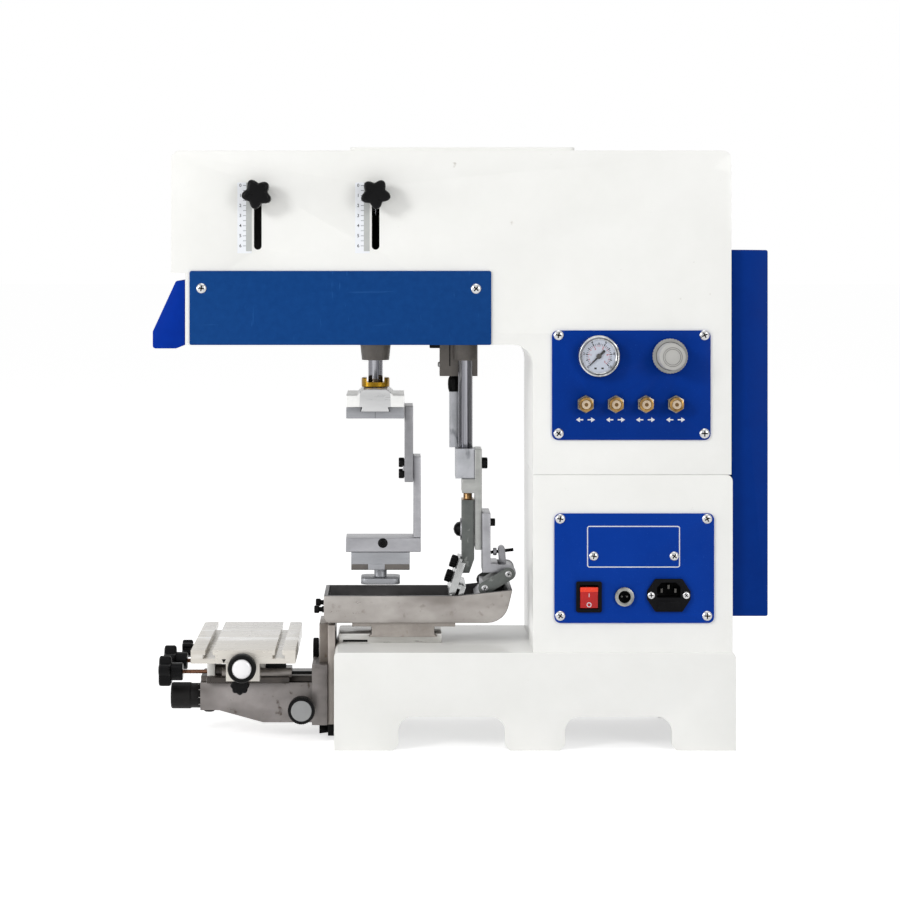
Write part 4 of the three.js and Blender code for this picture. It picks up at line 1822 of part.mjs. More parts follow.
piece('saddle', cut(
  join(
    box(
      saddleLeft, saddleLeft + SADDLE_LENGTH, saddleNear, SADDLE_WIDTH / 2,
      saddleBottom, saddlePlateTop,
    ),
    box(
      riserLeft, riserLeft + RISER_LENGTH, -RISER_WIDTH / 2, RISER_WIDTH / 2,
      saddlePlateTop - GAP, riserTop,
    ),
    prismY(
      outline([
        [riserMiddle - TABLE_TONGUE_NECK / 2, riserTop - GAP],
        [riserMiddle + TABLE_TONGUE_NECK / 2, riserTop - GAP],
        [riserMiddle + TABLE_TONGUE_NECK / 2, riserTop],
        [riserMiddle + TABLE_TONGUE_NECK / 2 + TABLE_TONGUE_FLARE, riserTop + TABLE_TONGUE_HEIGHT],
        [riserMiddle - TABLE_TONGUE_NECK / 2 - TABLE_TONGUE_FLARE, riserTop + TABLE_TONGUE_HEIGHT],
        [riserMiddle - TABLE_TONGUE_NECK / 2, riserTop],
      ]),
      -RISER_WIDTH / 2,
      RISER_WIDTH / 2,
    ),
    box(saddleLeft, lugRight, -LUG_NEAR, LUG_FAR, saddleBottom, saddleBottom + LUG_TOP),
    turnedX(
      bar(SIDE_ROD_RADIUS, kneeLeft + SIDE_ROD_LEFT, kneeLeft + SIDE_ROD_LEFT + SIDE_ROD_LENGTH),
      saddleNear + SIDE_ROD_RADIUS, saddlePlateTop + SIDE_ROD_RADIUS - 4 * GAP, SMALL_SIDES,
    ),
  ),
  box(
    saddleLeft - OVERRUN, saddleLeft + SADDLE_LENGTH + OVERRUN,
    -KNEE_WAY_WIDTH / 2 - GAP, KNEE_WAY_WIDTH / 2 + GAP, saddleBottom - OVERRUN, kneeWayTop + GAP,
  ),
  lugBore(LEAD_SCREW_RADIUS, -LEAD_SCREW_OFFSET, leadZ),
  lugBore(TABLE_LOCK_STUD, TABLE_LOCK_OFFSET, tableLockZ),
  lugBore(SMALL_LOCK_STUD, SMALL_LOCK_OFFSET, smallLockZ),
  turnedY(
    bar(TABLE_SCREW_RADIUS + GAP, -RISER_WIDTH / 2 - OVERRUN, tableScrewEnd + CROSS_TRAVEL + GAP),
    tableScrewX, tableScrewZ, SMALL_SIDES / 2,
  ),
  turnedY(
    bar(SADDLE_LOCK_STUD + GAP, saddleNear - OVERRUN, saddleNear + SADDLE_LOCK_STUD_LENGTH + GAP),
    saddleLockX, saddleLockZ, SMALL_SIDES / 2,
  ),
), LIGHT_ALLOY);

// Lead screw of the saddle, with its star knob
const STAR_SHARE = 0.28;
const LEAD_KNOB_FORWARD = 12.7;
const LEAD_KNOB_HUB = 11.5;
const LEAD_KNOB_THICKNESS = 12.5;
const LEAD_HUB_RADIUS = 9;
const leadHubRight = kneeLeft - LEAD_KNOB_FORWARD - LEAD_KNOB_HUB / 2;
const starKnobX = (y, z, right, hub, thickness, lobeCount, radius, hubRadius) => join(
  turnedX(bar(hubRadius, right - hub - GAP, right), y, z, SMALL_SIDES),
  prismX(lobes(lobeCount, radius, radius * STAR_SHARE, y, z), right - hub - thickness, right - hub),
);
piece('saddle_screw', join(
  starKnobX(
    -LEAD_SCREW_OFFSET, leadZ, leadHubRight, LEAD_KNOB_HUB, LEAD_KNOB_THICKNESS,
    STAR_LOBES, STAR_RADIUS, LEAD_HUB_RADIUS,
  ),
  turnedX(
    bar(LEAD_SCREW_RADIUS, leadHubRight - GAP, lugRight + LUG_THICKNESS),
    -LEAD_SCREW_OFFSET, leadZ, SMALL_SIDES / 2,
  ),
), BLACK_PLASTIC);

// Table lock and small lock: star knobs on the saddle's lug
piece('table_lock_knob', join(
  starKnobX(
    TABLE_LOCK_OFFSET, tableLockZ, leadHubRight, LEAD_KNOB_HUB, LEAD_KNOB_THICKNESS,
    STAR_LOBES, STAR_RADIUS, LEAD_HUB_RADIUS,
  ),
  turnedX(
    bar(TABLE_LOCK_STUD, leadHubRight - GAP, lugRight), TABLE_LOCK_OFFSET, tableLockZ, SMALL_SIDES / 2,
  ),
), BLACK_PLASTIC);
const SMALL_KNOB_RADIUS = 9.5;
const SMALL_KNOB_LENGTH = 11;
const SMALL_KNOB_HUB = 4;
const SMALL_KNOB_LOBES = 8;
const smallKnobRight = kneeLeft - LEAD_KNOB_FORWARD + SMALL_KNOB_HUB / 2;
piece('small_lock_knob', join(
  starKnobX(
    SMALL_LOCK_OFFSET, smallLockZ, smallKnobRight, SMALL_KNOB_HUB, SMALL_KNOB_LENGTH,
    STAR_LOBES, SMALL_KNOB_RADIUS, SMALL_KNOB_RADIUS / 2,
  ),
  turnedX(
    bar(SMALL_LOCK_STUD, smallKnobRight - GAP, lugRight), SMALL_LOCK_OFFSET, smallLockZ, SMALL_SIDES / 2,
  ),
), BLACK_PLASTIC);

// Saddle lock on the near side, under the table's knob
const SADDLE_LOCK_STAND = 22;
const saddleKnobBack = saddleNear - SADDLE_LOCK_STAND;
piece('saddle_lock_knob', join(
  prismY(
    lobes(
      SMALL_KNOB_LOBES, SMALL_KNOB_RADIUS, SMALL_KNOB_RADIUS * STAR_SHARE / 2, saddleLockX, saddleLockZ,
    ),
    saddleKnobBack - SMALL_KNOB_LENGTH,
    saddleKnobBack,
  ),
  turnedY(
    bar(SADDLE_LOCK_STUD, saddleKnobBack - GAP, saddleNear + SADDLE_LOCK_STUD_LENGTH),
    saddleLockX, saddleLockZ, SMALL_SIDES / 2,
  ),
), BLACK_PLASTIC);

// Work table with two T-slots, its dovetail groove and the bearing block of the cross screw
const TABLE_LENGTH = 103.8;
const TABLE_WIDTH = 190;
const TABLE_THICKNESS = 13.2;
const TABLE_LEFT = 4.4;
const TABLE_CORNER = 6;
const TEE_LEFT = 18;
const TEE_PITCH = 69.1;
const TEE_NECK = 7.3;
const TEE_FOOT = 12.2;
const TEE_NECK_DEPTH = 4.8;
const TEE_FOOT_DEPTH = 3.6;
const BEARING_LENGTH = 33.3;
const BEARING_DEPTH = 15;
const BEARING_HEIGHT = 17.5;
const tableLeft = kneeLeft - TABLE_LEFT;
const tableTop = tableBottom + TABLE_THICKNESS;
const tableNear = -TABLE_WIDTH / 2;
const teeCut = (x) => join(
  box(
    x - TEE_NECK / 2, x + TEE_NECK / 2, -TABLE_WIDTH, TABLE_WIDTH,
    tableTop - TEE_NECK_DEPTH - GAP, tableTop + OVERRUN,
  ),
  box(
    x - TEE_FOOT / 2, x + TEE_FOOT / 2, -TABLE_WIDTH, TABLE_WIDTH,
    tableTop - TEE_NECK_DEPTH - TEE_FOOT_DEPTH, tableTop - TEE_NECK_DEPTH,
  ),
);
piece('work_table', cut(
  join(
    prismZ(
      outline([
        [tableLeft, tableNear],
        [tableLeft + TABLE_LENGTH, tableNear],
        [tableLeft + TABLE_LENGTH, TABLE_WIDTH / 2, TABLE_CORNER],
        [tableLeft, TABLE_WIDTH / 2, TABLE_CORNER],
      ]),
      tableBottom,
      tableTop,
    ),
    box(
      tableScrewX - BEARING_LENGTH / 2, tableScrewX + BEARING_LENGTH / 2,
      tableNear, tableNear + BEARING_DEPTH, tableBottom - BEARING_HEIGHT, tableBottom + GAP,
    ),
  ),
  teeCut(tableLeft + TEE_LEFT),
  teeCut(tableLeft + TEE_LEFT + TEE_PITCH),
  prismY(
    outline([
      [riserMiddle - TABLE_TONGUE_NECK / 2 - 2 * GAP, tableBottom - OVERRUN],
      [riserMiddle + TABLE_TONGUE_NECK / 2 + 2 * GAP, tableBottom - OVERRUN],
      [riserMiddle + TABLE_TONGUE_NECK / 2 + 2 * GAP, tableBottom],
      [
        riserMiddle + TABLE_TONGUE_NECK / 2 + TABLE_TONGUE_FLARE + 2 * GAP,
        tableBottom + TABLE_TONGUE_HEIGHT,
      ],
      [
        riserMiddle - TABLE_TONGUE_NECK / 2 - TABLE_TONGUE_FLARE - 2 * GAP,
        tableBottom + TABLE_TONGUE_HEIGHT,
      ],
      [riserMiddle - TABLE_TONGUE_NECK / 2 - 2 * GAP, tableBottom],
    ]),
    tableNear + BEARING_DEPTH,
    TABLE_WIDTH,
  ),
  turnedY(
    bar(TABLE_SCREW_RADIUS + GAP, tableNear - OVERRUN, tableNear + BEARING_DEPTH + OVERRUN),
    tableScrewX, tableScrewZ, SMALL_SIDES / 2,
  ),
), LIGHT_ALLOY);

// Cross screw of the table, with its round capped knob
const TABLE_KNOB_RADIUS = 14;
const TABLE_KNOB_CAP = 9.8;
const TABLE_KNOB_LENGTH = 15;
const TABLE_KNOB_HUB_RADIUS = 8;
const TABLE_KNOB_HUB = 4;
const TABLE_KNOB_DOME = 1;
const tableHubBack = tableNear - GAP;
const tableKnobBack = tableHubBack - TABLE_KNOB_HUB;
const tableKnobFront = tableKnobBack - TABLE_KNOB_LENGTH;
piece('table_screw', turnedY([
  [0, tableKnobFront - TABLE_KNOB_DOME],
  [TABLE_KNOB_CAP, tableKnobFront - TABLE_KNOB_DOME],
  [TABLE_KNOB_CAP, tableKnobFront],
  [TABLE_KNOB_RADIUS, tableKnobFront + TABLE_KNOB_DOME],
  [TABLE_KNOB_RADIUS, tableKnobBack],
  [TABLE_KNOB_HUB_RADIUS, tableKnobBack],
  [TABLE_KNOB_HUB_RADIUS, tableHubBack],
  [TABLE_SCREW_RADIUS, tableHubBack],
  [TABLE_SCREW_RADIUS, tableScrewEnd],
  [0, tableScrewEnd],
], tableScrewX, tableScrewZ), BLACK_PLASTIC);

export default model;
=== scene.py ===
# Pad printing machine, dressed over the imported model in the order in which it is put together.
# Sizes are in millimetres unless a line says metres: X runs from the work table to the rear cover,
# the two panels face -Y, and Z is up from the bench.
import json
import math

import bmesh
import bpy
from mathutils import Matrix, Vector


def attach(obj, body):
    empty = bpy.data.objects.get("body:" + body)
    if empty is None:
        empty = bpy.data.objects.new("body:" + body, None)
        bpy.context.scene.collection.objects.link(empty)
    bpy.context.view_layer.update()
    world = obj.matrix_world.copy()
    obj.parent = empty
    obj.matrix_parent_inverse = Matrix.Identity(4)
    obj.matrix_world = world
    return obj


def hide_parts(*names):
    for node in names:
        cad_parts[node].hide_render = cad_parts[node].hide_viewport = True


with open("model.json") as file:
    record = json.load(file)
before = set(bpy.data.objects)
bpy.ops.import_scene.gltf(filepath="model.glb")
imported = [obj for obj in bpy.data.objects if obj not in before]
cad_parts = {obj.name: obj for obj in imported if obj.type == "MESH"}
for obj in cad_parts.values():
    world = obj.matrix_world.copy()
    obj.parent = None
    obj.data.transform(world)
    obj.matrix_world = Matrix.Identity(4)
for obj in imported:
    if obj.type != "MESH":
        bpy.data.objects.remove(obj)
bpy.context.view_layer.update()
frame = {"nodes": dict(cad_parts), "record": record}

# Camera, in metres. It looks level at the side with the panels, from a little in front of the column,
# and its shift frames the machine as the photograph does.
camera = bpy.data.objects.new("camera", bpy.data.cameras.new("camera"))
bpy.context.collection.objects.link(camera)
camera.location = (-0.136, -2.607, 0.502)
camera.rotation_euler = (math.radians(90), 0, 0)
camera.data.sensor_width = 36
camera.data.lens = 101.4
camera.data.shift_x = 0.0578
camera.data.shift_y = -0.2278
bpy.context.scene.camera = camera

# Floor and light: a white bench in an even white room, with soft boxes in front, at one side and above.
# The room looks white to the camera and in metal and glass, and lights the machine at a plain level.
bpy.context.scene.view_settings.view_transform = "Standard"
ROOM_LEVEL = 0.4
BENCH_LIFT = 0.62
LAMP_AIM = Vector((-0.08, 0, 0.3))


def fed(tree, node, inputs):
    """Sets a node's inputs: each is joined to another node's output, or holds a plain value."""
    for name, given in inputs.items():
        if isinstance(given, bpy.types.NodeSocket):
            tree.links.new(given, node.inputs[name])
        else:
            node.inputs[name].default_value = given
    return node


def seen_directly(tree):
    """A value of 1 where the eye, a polished surface or glass looks straight at the surface, or 0."""
    rays = tree.nodes.new("ShaderNodeLightPath")
    seen = rays.outputs["Is Camera Ray"]
    for ray in ("Is Glossy Ray", "Is Transmission Ray"):
        larger = tree.nodes.new("ShaderNodeMath")
        larger.operation = "MAXIMUM"
        seen = fed(tree, larger, {0: seen, 1: rays.outputs[ray]}).outputs[0]
    return seen


room = bpy.data.worlds.new("room")
room.use_nodes = True
bpy.context.scene.world = room
room_tree = room.node_tree
level = fed(
    room_tree, room_tree.nodes.new("ShaderNodeMapRange"),
    {"Value": seen_directly(room_tree), "To Min": ROOM_LEVEL, "To Max": 1},
)
fed(
    room_tree, room_tree.nodes["Background"],
    {"Color": (1, 1, 1, 1), "Strength": level.outputs["Result"]},
)


def soft_box(name, place, size, watts):
    """A square lamp, placed in metres, that faces the middle of the machine."""
    lamp = bpy.data.lights.new(name, "AREA")
    lamp.size = size
    lamp.energy = watts
    box = bpy.data.objects.new(name, lamp)
    bpy.context.collection.objects.link(box)
    box.location = place
    box.rotation_euler = (LAMP_AIM - Vector(place)).to_track_quat("-Z", "Y").to_euler()


soft_box("left_box", (-2.1, -2.0, 1.4), 0.7, 26)
soft_box("side_box", (-2.6, -0.7, 0.6), 0.9, 13)
soft_box("right_box", (1.5, -2.2, 1.0), 1.0, 16)
soft_box("top_box", (0.0, -0.5, 2.3), 1.2, 7)

floor_work = bmesh.new()
bmesh.ops.create_grid(floor_work, x_segments=1, y_segments=1, size=30)
floor_mesh = bpy.data.meshes.new("floor")
floor_work.to_mesh(floor_mesh)
floor_work.free()
floor = bpy.data.objects.new("floor", floor_mesh)
bpy.context.collection.objects.link(floor)
bench_white = bpy.data.materials.new("bench_white")
bench_white.use_nodes = True
floor_mesh.materials.append(bench_white)
bench_tree = bench_white.node_tree
bench_glow = bench_tree.nodes.new("ShaderNodeMath")
bench_glow.operation = "MULTIPLY"
fed(bench_tree, bench_glow, {0: seen_directly(bench_tree), 1: BENCH_LIFT})
fed(
    bench_tree, bench_tree.nodes["Principled BSDF"],
    {"Base Color": (0.93, 0.93, 0.93, 1), "Roughness": 0.9, "Specular IOR Level": 0,
     "Emission Color": (1, 1, 1, 1), "Emission Strength": bench_glow.outputs[0]},
)

# Base and head castings: cast iron, filled, primed and sprayed in thick white enamel.
# The two are bolted together at the joint across the column, and their edges are rubbed round.
MILLIMETRE = 0.001
GRAIN_DEPTH = 0.0004
SHARP_ANGLE = math.radians(35)
SMOOTH_ANGLE = math.radians(38)
FLAT_ANGLE = math.radians(0.8)
CASTING_EDGE = 2.2
body_of = {
    node: body
    for body, members in frame["record"]["behaviour"]["bodies"].items()
    for node in members
}


def colour(red, green, blue):
    """A colour read off a screen, 0 to 255 each, as the shader wants it."""
    parts = [part / 255 for part in (red, green, blue)]
    return tuple(p / 12.92 if p < 0.04045 else ((p + 0.055) / 1.055) ** 2.4 for p in parts) + (1,)


def grain_of(tree, grain, stretch, detail):
    """A noise fixed to the piece, with so many grains to a metre, and drawn out along an axis."""
    place = tree.nodes.new("ShaderNodeTexCoord").outputs["Object"]
    scale = fed(tree, tree.nodes.new("ShaderNodeMapping"), {"Vector": place, "Scale": stretch})
    noise = tree.nodes.new("ShaderNodeTexNoise")
    return fed(tree, noise, {"Vector": scale.outputs["Vector"], "Scale": grain, "Detail": detail})


def grained(
    name, light, dark, grain, rough, relief, stretch=(1, 1, 1), spread=0.3, metal=0, coat=0, shine=0.5,
):
    """A finish whose colour and polish drift between two values."""
    finish = bpy.data.materials.new(name)
    finish.use_nodes = True
    tree = finish.node_tree
    noise = fed(tree, grain_of(tree, grain, stretch, 6), {"Roughness": 0.65}).outputs["Fac"]
    tint = fed(tree, tree.nodes.new("ShaderNodeValToRGB"), {"Fac": noise})
    places = (0.5 - spread, 0.5 + spread)
    for stop, place, shade in zip(tint.color_ramp.elements, places, (dark, light)):
        stop.position = place
        stop.color = colour(*shade)
    polish = fed(
        tree, tree.nodes.new("ShaderNodeMapRange"),
        {"Value": noise, "From Min": 0.3, "From Max": 0.7, "To Min": rough[0], "To Max": rough[1]},
    )
    shader = fed(
        tree, tree.nodes["Principled BSDF"],
        {"Metallic": metal, "Coat Weight": coat, "Specular IOR Level": shine,
         "Base Color": tint.outputs["Color"], "Roughness": polish.outputs["Result"]},
    )
    if relief:
        bump = fed(
            tree, tree.nodes.new("ShaderNodeBump"),
            {"Height": noise, "Strength": relief, "Distance": GRAIN_DEPTH},
        )
        fed(tree, shader, {"Normal": bump.outputs["Normal"]})
    return finish


def spotted(finish, spot, grain, rarity, stretch=(1, 1, 1), fade=0.08):
    """Lays spots over a finish's colour: dirt, chips, stains or hair scratches."""
    tree = finish.node_tree
    shader = tree.nodes["Principled BSDF"]
    gate = fed(
        tree, tree.nodes.new("ShaderNodeMapRange"),
        {"Value": grain_of(tree, grain, stretch, 3).outputs["Fac"], "From Min": rarity,
         "From Max": rarity + fade},
    )
    blend = tree.nodes.new("ShaderNodeMix")
    blend.data_type = "RGBA"
    under = shader.inputs["Base Color"].links[0].from_socket
    fed(tree, blend, {"Factor": gate.outputs["Result"], "A": under, "B": colour(*spot)})
    fed(tree, shader, {"Base Color": blend.outputs["Result"]})
    return finish


def rounded(work, width, steps=2):
    """Rounds every sharp edge."""
    corners = [
        edge for edge in work.edges
        if len(edge.link_faces) == 2 and edge.calc_face_angle() > SHARP_ANGLE
    ]
    bmesh.ops.bevel(
        work, geom=corners, offset=width, offset_type="OFFSET", segments=steps, profile=0.5,
        affect="EDGES", clamp_overlap=True, material=-1,
    )
    return work


def made(name, work, finish, body="machine_frame"):
    """Turns finished mesh work into a piece that moves with its body."""
    bmesh.ops.scale(work, vec=(MILLIMETRE,) * 3, verts=work.verts)
    mesh = bpy.data.meshes.new(name)
    work.to_mesh(mesh)
    work.free()
    mesh.shade_smooth()
    mesh.set_sharp_from_angle(angle=SMOOTH_ANGLE)
    for coat in finish if isinstance(finish, list) else [finish]:
        mesh.materials.append(coat)
    piece = bpy.data.objects.new(name, mesh)
    bpy.context.collection.objects.link(piece)
    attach(piece, body)
    return piece


def solid_of(node):
    """The node's own shape in millimetres, its loose triangles merged into whole faces."""
    work = bmesh.new()
    work.from_mesh(frame["nodes"][node].data)
    bmesh.ops.scale(work, vec=(1 / MILLIMETRE,) * 3, verts=work.verts)
    bmesh.ops.remove_doubles(work, verts=work.verts, dist=0.002)
    bmesh.ops.dissolve_limit(work, angle_limit=FLAT_ANGLE, verts=work.verts, edges=work.edges)
    return work


def cut(work, point, normal, away=False):
    """Cuts faces along a plane. What is beyond it can be taken away, and the cut is then closed."""
    line = bmesh.ops.bisect_plane(
        work, geom=work.verts[:] + work.edges[:] + work.faces[:], dist=0.01, plane_co=point,
        plane_no=normal, clear_outer=away,
    )["geom_cut"]
    if away:
        rim = [part for part in line if isinstance(part, bmesh.types.BMEdge)]
        bmesh.ops.holes_fill(work, edges=rim)
    return work


def split_at(work, height):
    """Cuts a shape's faces along a level, so that they can be finished apart."""
    return cut(work, (0, 0, height), (0, 0, 1))


def finish_where(work, number, inside):
    """Gives the faces whose middle is inside a region the finish of that number."""
    for face in work.faces:
        if inside(face.calc_center_median()):
            face.material_index = number
    return work


def standing_for(node, work, finish):
    """Lets new mesh work stand for a node."""
    piece = made(node + "_finished", work, finish, body_of[node])
    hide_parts(node)
    return piece


def dressed(node, finish, edge=0.6, steps=2):
    """The node's shape with its edges rubbed round, standing for the node."""
    return standing_for(node, rounded(solid_of(node), edge, steps), finish)


white_enamel = spotted(
    grained("white_enamel", (246, 246, 243), (238, 238, 234), 11, (0.3, 0.42), 0.05, coat=0.25),
    (206, 203, 196), 85, 0.74,
)
primer_and_shade = grained("primer_and_shade", (66, 64, 62), (44, 43, 42), 24, (0.6, 0.75), 0.2, shine=0.1)


def in_the_arm(middle):
    """Whether a face belongs to the arm's hollow or to a stroke slot."""
    hollow = -339.5 < middle.x < -9.7 and 403.5 < middle.z < 588.1
    in_slot = abs(middle.y) < 89.9 and 497 < middle.z < 562.6
    return hollow and (abs(middle.y) < 82.1 or in_slot)


dressed("base_casting", white_enamel, CASTING_EDGE, 3)
# The arm's hollow and the walls of the stroke slots are in dark primer, which also stands as painted
# shade for the dark inside the arm.
head_work = finish_where(solid_of("head_casting"), 1, in_the_arm)
standing_for("head_casting", rounded(head_work, CASTING_EDGE, 3), [white_enamel, primer_and_shade])

# Bed, tray adapter and slideway: ground iron, screwed to the base, dull and browned at the rims. The
# bed is planed bright, and a thin black strip along its foot under the front end is a painted shadow
# for a relief slot.
ground_iron = spotted(
    grained("ground_iron", (176, 169, 163), (128, 121, 115), 34, (0.34, 0.52), 0.2, metal=0.55),
    (112, 92, 76), 40, 0.68,
)
planed_bright = grained(
    "planed_bright", (226, 225, 222), (190, 188, 184), 70, (0.25, 0.4), 0.12,
    stretch=(0.3, 1, 4), metal=0.6,
)
dull_black = grained("dull_black", (22, 22, 22), (11, 11, 11), 150, (0.4, 0.55), 0.1, shine=0.08)
BED_NEAR = -28
SLIDEWAY_DARK_FOOT = 16.6


def slab(low, high):
    """A block between two corners."""
    work = bmesh.new()
    bmesh.ops.create_cube(work, size=1)
    size = Vector(high) - Vector(low)
    bmesh.ops.scale(work, vec=size, verts=work.verts)
    bmesh.ops.translate(work, vec=Vector(low) + size / 2, verts=work.verts)
    return work


# Below this height the slideway's faces are dull black.
way_work = split_at(rounded(solid_of("slideway"), 0.5), SLIDEWAY_DARK_FOOT)
finish_where(way_work, 1, lambda middle: middle.z < SLIDEWAY_DARK_FOOT)
standing_for("slideway", way_work, [ground_iron, dull_black])
dressed("tray_adapter", ground_iron, 0.4)
dressed("tray_bed", planed_bright, 0.4)
# Painted shadow: a thin black strip on the bed's near face stands for the dark of the relief slot.
made(
    "bed_slot_shadow", slab((-192, BED_NEAR - 0.15, 98.2), (-167, BED_NEAR + 1, 100.4)), dull_black,
)

# Printing plate: a thin etched steel plate that lies in the tray. The tray is cast and brushed, and
# two black thumb screws in its front end hold the plate down.
tray_metal = spotted(
    spotted(
        grained(
            "tray_metal", (186, 181, 177), (154, 149, 144), 30, (0.26, 0.42), 0.18,
            stretch=(0.6, 1, 1.4), metal=0.6,
        ),
        (130, 124, 119), 20, 0.43, stretch=(0.8, 1, 1.3), fade=0.28,
    ),
    (126, 118, 112), 120, 0.6, fade=0.2,
)
tray_inside = grained(
    "tray_inside", (106, 104, 104), (44, 43, 43), 14, (0.28, 0.42), 0.1, metal=0.3, shine=0.3,
)
plate_steel = grained("plate_steel", (84, 84, 86), (58, 58, 60), 60, (0.2, 0.34), 0.05, metal=0.7)
TRAY_FRONT = -211.1
TRAY_SCREW_Z = 131


def in_the_tray(middle):
    """Whether a face belongs to the tray's trough."""
    return abs(middle.y) < 38.2 and middle.z > 124 and -207.4 < middle.x < -22


dressed("printing_plate", plate_steel, 0.3)
tray_work = cut(solid_of("ink_tray"), (TRAY_FRONT + 0.02, 0, 0), (-1, 0, 0), away=True)
finish_where(tray_work, 1, in_the_tray)
standing_for("ink_tray", rounded(tray_work, 0.8, 3), [tray_metal, tray_inside])

# Knee: a ground iron bracket that climbs the slideway and carries the table on its long arm. The way
# along the arm's top is dark with oil and with painted shade from the gap under the saddle, a screw
# closes the nose, and a black disc tops the block.
knee_iron = spotted(
    spotted(
        grained("knee_iron", (162, 157, 155), (124, 118, 116), 26, (0.34, 0.5), 0.25, metal=0.5),
        (88, 83, 80), 19, 0.44, stretch=(0.8, 1, 1.2), fade=0.26,
    ),
    (84, 74, 68), 90, 0.64,
)
# Dark with oil, and painted shade for the gap between the knee's way and the saddle.
oil_and_shade = grained("oil_and_shade", (78, 71, 66), (42, 38, 36), 60, (0.25, 0.4), 0.15, metal=0.4)
AXES = {
    "X": Matrix.Rotation(math.radians(90), 4, "Y"),
    "Y": Matrix.Rotation(math.radians(-90), 4, "X"),
    "Z": Matrix.Identity(4),
}


def placed(work, axis, centre):
    """Turns a shape made about Z to the axis and moves it to its centre."""
    bmesh.ops.transform(work, matrix=Matrix.Translation(centre) @ AXES[axis], verts=work.verts)
    return work


def turned(profile, axis, centre, steps=64):
    """A turned shape about an axis: the profile's points are [radius, place along the axis]."""
    work = bmesh.new()
    points = [work.verts.new((radius, 0, along)) for radius, along in profile]
    for point, following in zip(points, points[1:]):
        work.edges.new((point, following))
    bmesh.ops.spin(
        work, geom=work.verts[:] + work.edges[:], cent=(0, 0, 0), axis=(0, 0, 1),
        angle=2 * math.pi, steps=steps, use_merge=True,
    )
    bmesh.ops.remove_doubles(work, verts=work.verts, dist=0.0005)
    bmesh.ops.recalc_face_normals(work, faces=work.faces)
    return placed(work, axis, centre)


def moved(work, place, degrees=0, axis="Y"):
    """Turns a shape about an axis through the origin and then moves it."""
    turn = Matrix.Rotation(math.radians(degrees), 4, axis)
    bmesh.ops.transform(work, matrix=Matrix.Translation(place) @ turn, verts=work.verts)
    return work


def rod(radius, start, end, axis, centre, steps=64):
    """A plain round bar."""
    return turned([[0, start], [radius, start], [radius, end], [0, end]], axis, centre, steps)


def hoop(inner, outer, start, end, axis, centre, steps=64):
    """A plain round ring."""
    profile = [[inner, start], [outer, start], [outer, end], [inner, end], [inner, start]]
    return turned(profile, axis, centre, steps)


def lobed(count, outer, waist, rings, axis, centre, turn=0.0, fullness=0.8):
    """A lobed or fluted knob: an outline pulled along in rings, each [share of its size, place]."""
    work = bmesh.new()
    steps = count * 12 if count < 12 else count * 4
    points = []
    for step in range(steps):
        angle = 2 * math.pi * step / steps
        reach = waist + (outer - waist) * (0.5 + 0.5 * math.cos(count * angle)) ** fullness
        points.append(work.verts.new((
            rings[0][0] * reach * math.cos(angle + turn),
            rings[0][0] * reach * math.sin(angle + turn),
            rings[0][1],
        )))
    end = work.faces.new(points)
    for (share, along), (next_share, next_along) in zip(rings, rings[1:]):
        pulled = bmesh.ops.extrude_face_region(work, geom=[end])["geom"]
        end = next(part for part in pulled if isinstance(part, bmesh.types.BMFace))
        bmesh.ops.scale(work, vec=(next_share / share, next_share / share, 1), verts=end.verts)
        bmesh.ops.translate(work, vec=(0, 0, next_along - along), verts=end.verts)
    bmesh.ops.recalc_face_normals(work, faces=work.faces)
    return placed(work, axis, centre)


def together(*groups):
    """Several lists of shapes as one piece of mesh work; each list has the next finish number."""
    whole = bmesh.new()
    for finish_number, group in enumerate(groups):
        for part in group:
            for face in part.faces:
                face.material_index = finish_number
            carrier = bpy.data.meshes.new("carrier")
            part.to_mesh(carrier)
            part.free()
            whole.from_mesh(carrier)
            bpy.data.meshes.remove(carrier)
    return whole


for number, side in enumerate((-25, 25)):
    made(
        f"tray_screw_{number + 1}",
        turned(
            [[0, -221.3], [3.2, -221.3], [3.9, -220.6], [3.9, -217], [3.2, -216.2], [2.4, -216],
             [2.4, -213.4], [3.3, -213.2], [3.3, -211.3], [2.4, -211.3], [2.4, -210.6], [0, -210.6]],
            "X", (0, side, TRAY_SCREW_Z), 40,
        ),
        dull_black,
    )


def on_the_way(middle):
    """Whether a face belongs to the way along the top of the knee's arm."""
    return middle.z > 57.2 and abs(middle.y) < 24.5 and middle.x < -222.9


knee_work = rounded(finish_where(solid_of("knee"), 1, on_the_way), 0.9)
standing_for("knee", knee_work, [knee_iron, oil_and_shade])
made(
    "knee_nose_screw",
    turned([[0, 22.8], [4.6, 22.8], [6, 24], [6, 29.4], [0, 29.4]], "Z", (-329.9, 0, 0)),
    dull_black, "knee_body",
)
made(
    "knee_gib_disc",
    lobed(40, 13, 12.6, [(0.93, -223.7), (1, -222.9), (1, -218.7), (0.93, -217.9)], "X", (0, 20, 82)),
    dull_black, "knee_body",
)

# Height wheel: a black moulded wheel with a graduated sleeve behind it, on the knee's shaft.
# White lines on the sleeve's rim are read against the end of the arm.
WHEEL = (0, 0, 39)
WHEEL_LINES = 10
SLEEVE_END = -337.5
white_ink = grained("white_ink", (224, 224, 220), (200, 200, 196), 220, (0.5, 0.6), 0)
wheel_black = grained("wheel_black", (34, 33, 33), (20, 19, 19), 110, (0.4, 0.52), 0.08, shine=0.15)
wheel_work = together(
    [
        lobed(
            40, 13.4, 13.1, [(0.9, -368.8), (0.97, -368.2), (1, -367), (1, -349.2), (0.96, -348.2)],
            "X", WHEEL,
        ),
        turned(
            [[0, -348.4], [12.5, -348.4], [12.6, -348], [12.6, -338], [12.2, -337.3], [7, -337.3],
             [7, -302.2], [0, -302.2]],
            "X", WHEEL,
        ),
    ],
)
standing_for("height_wheel", wheel_work, wheel_black)
wheel_lines = []
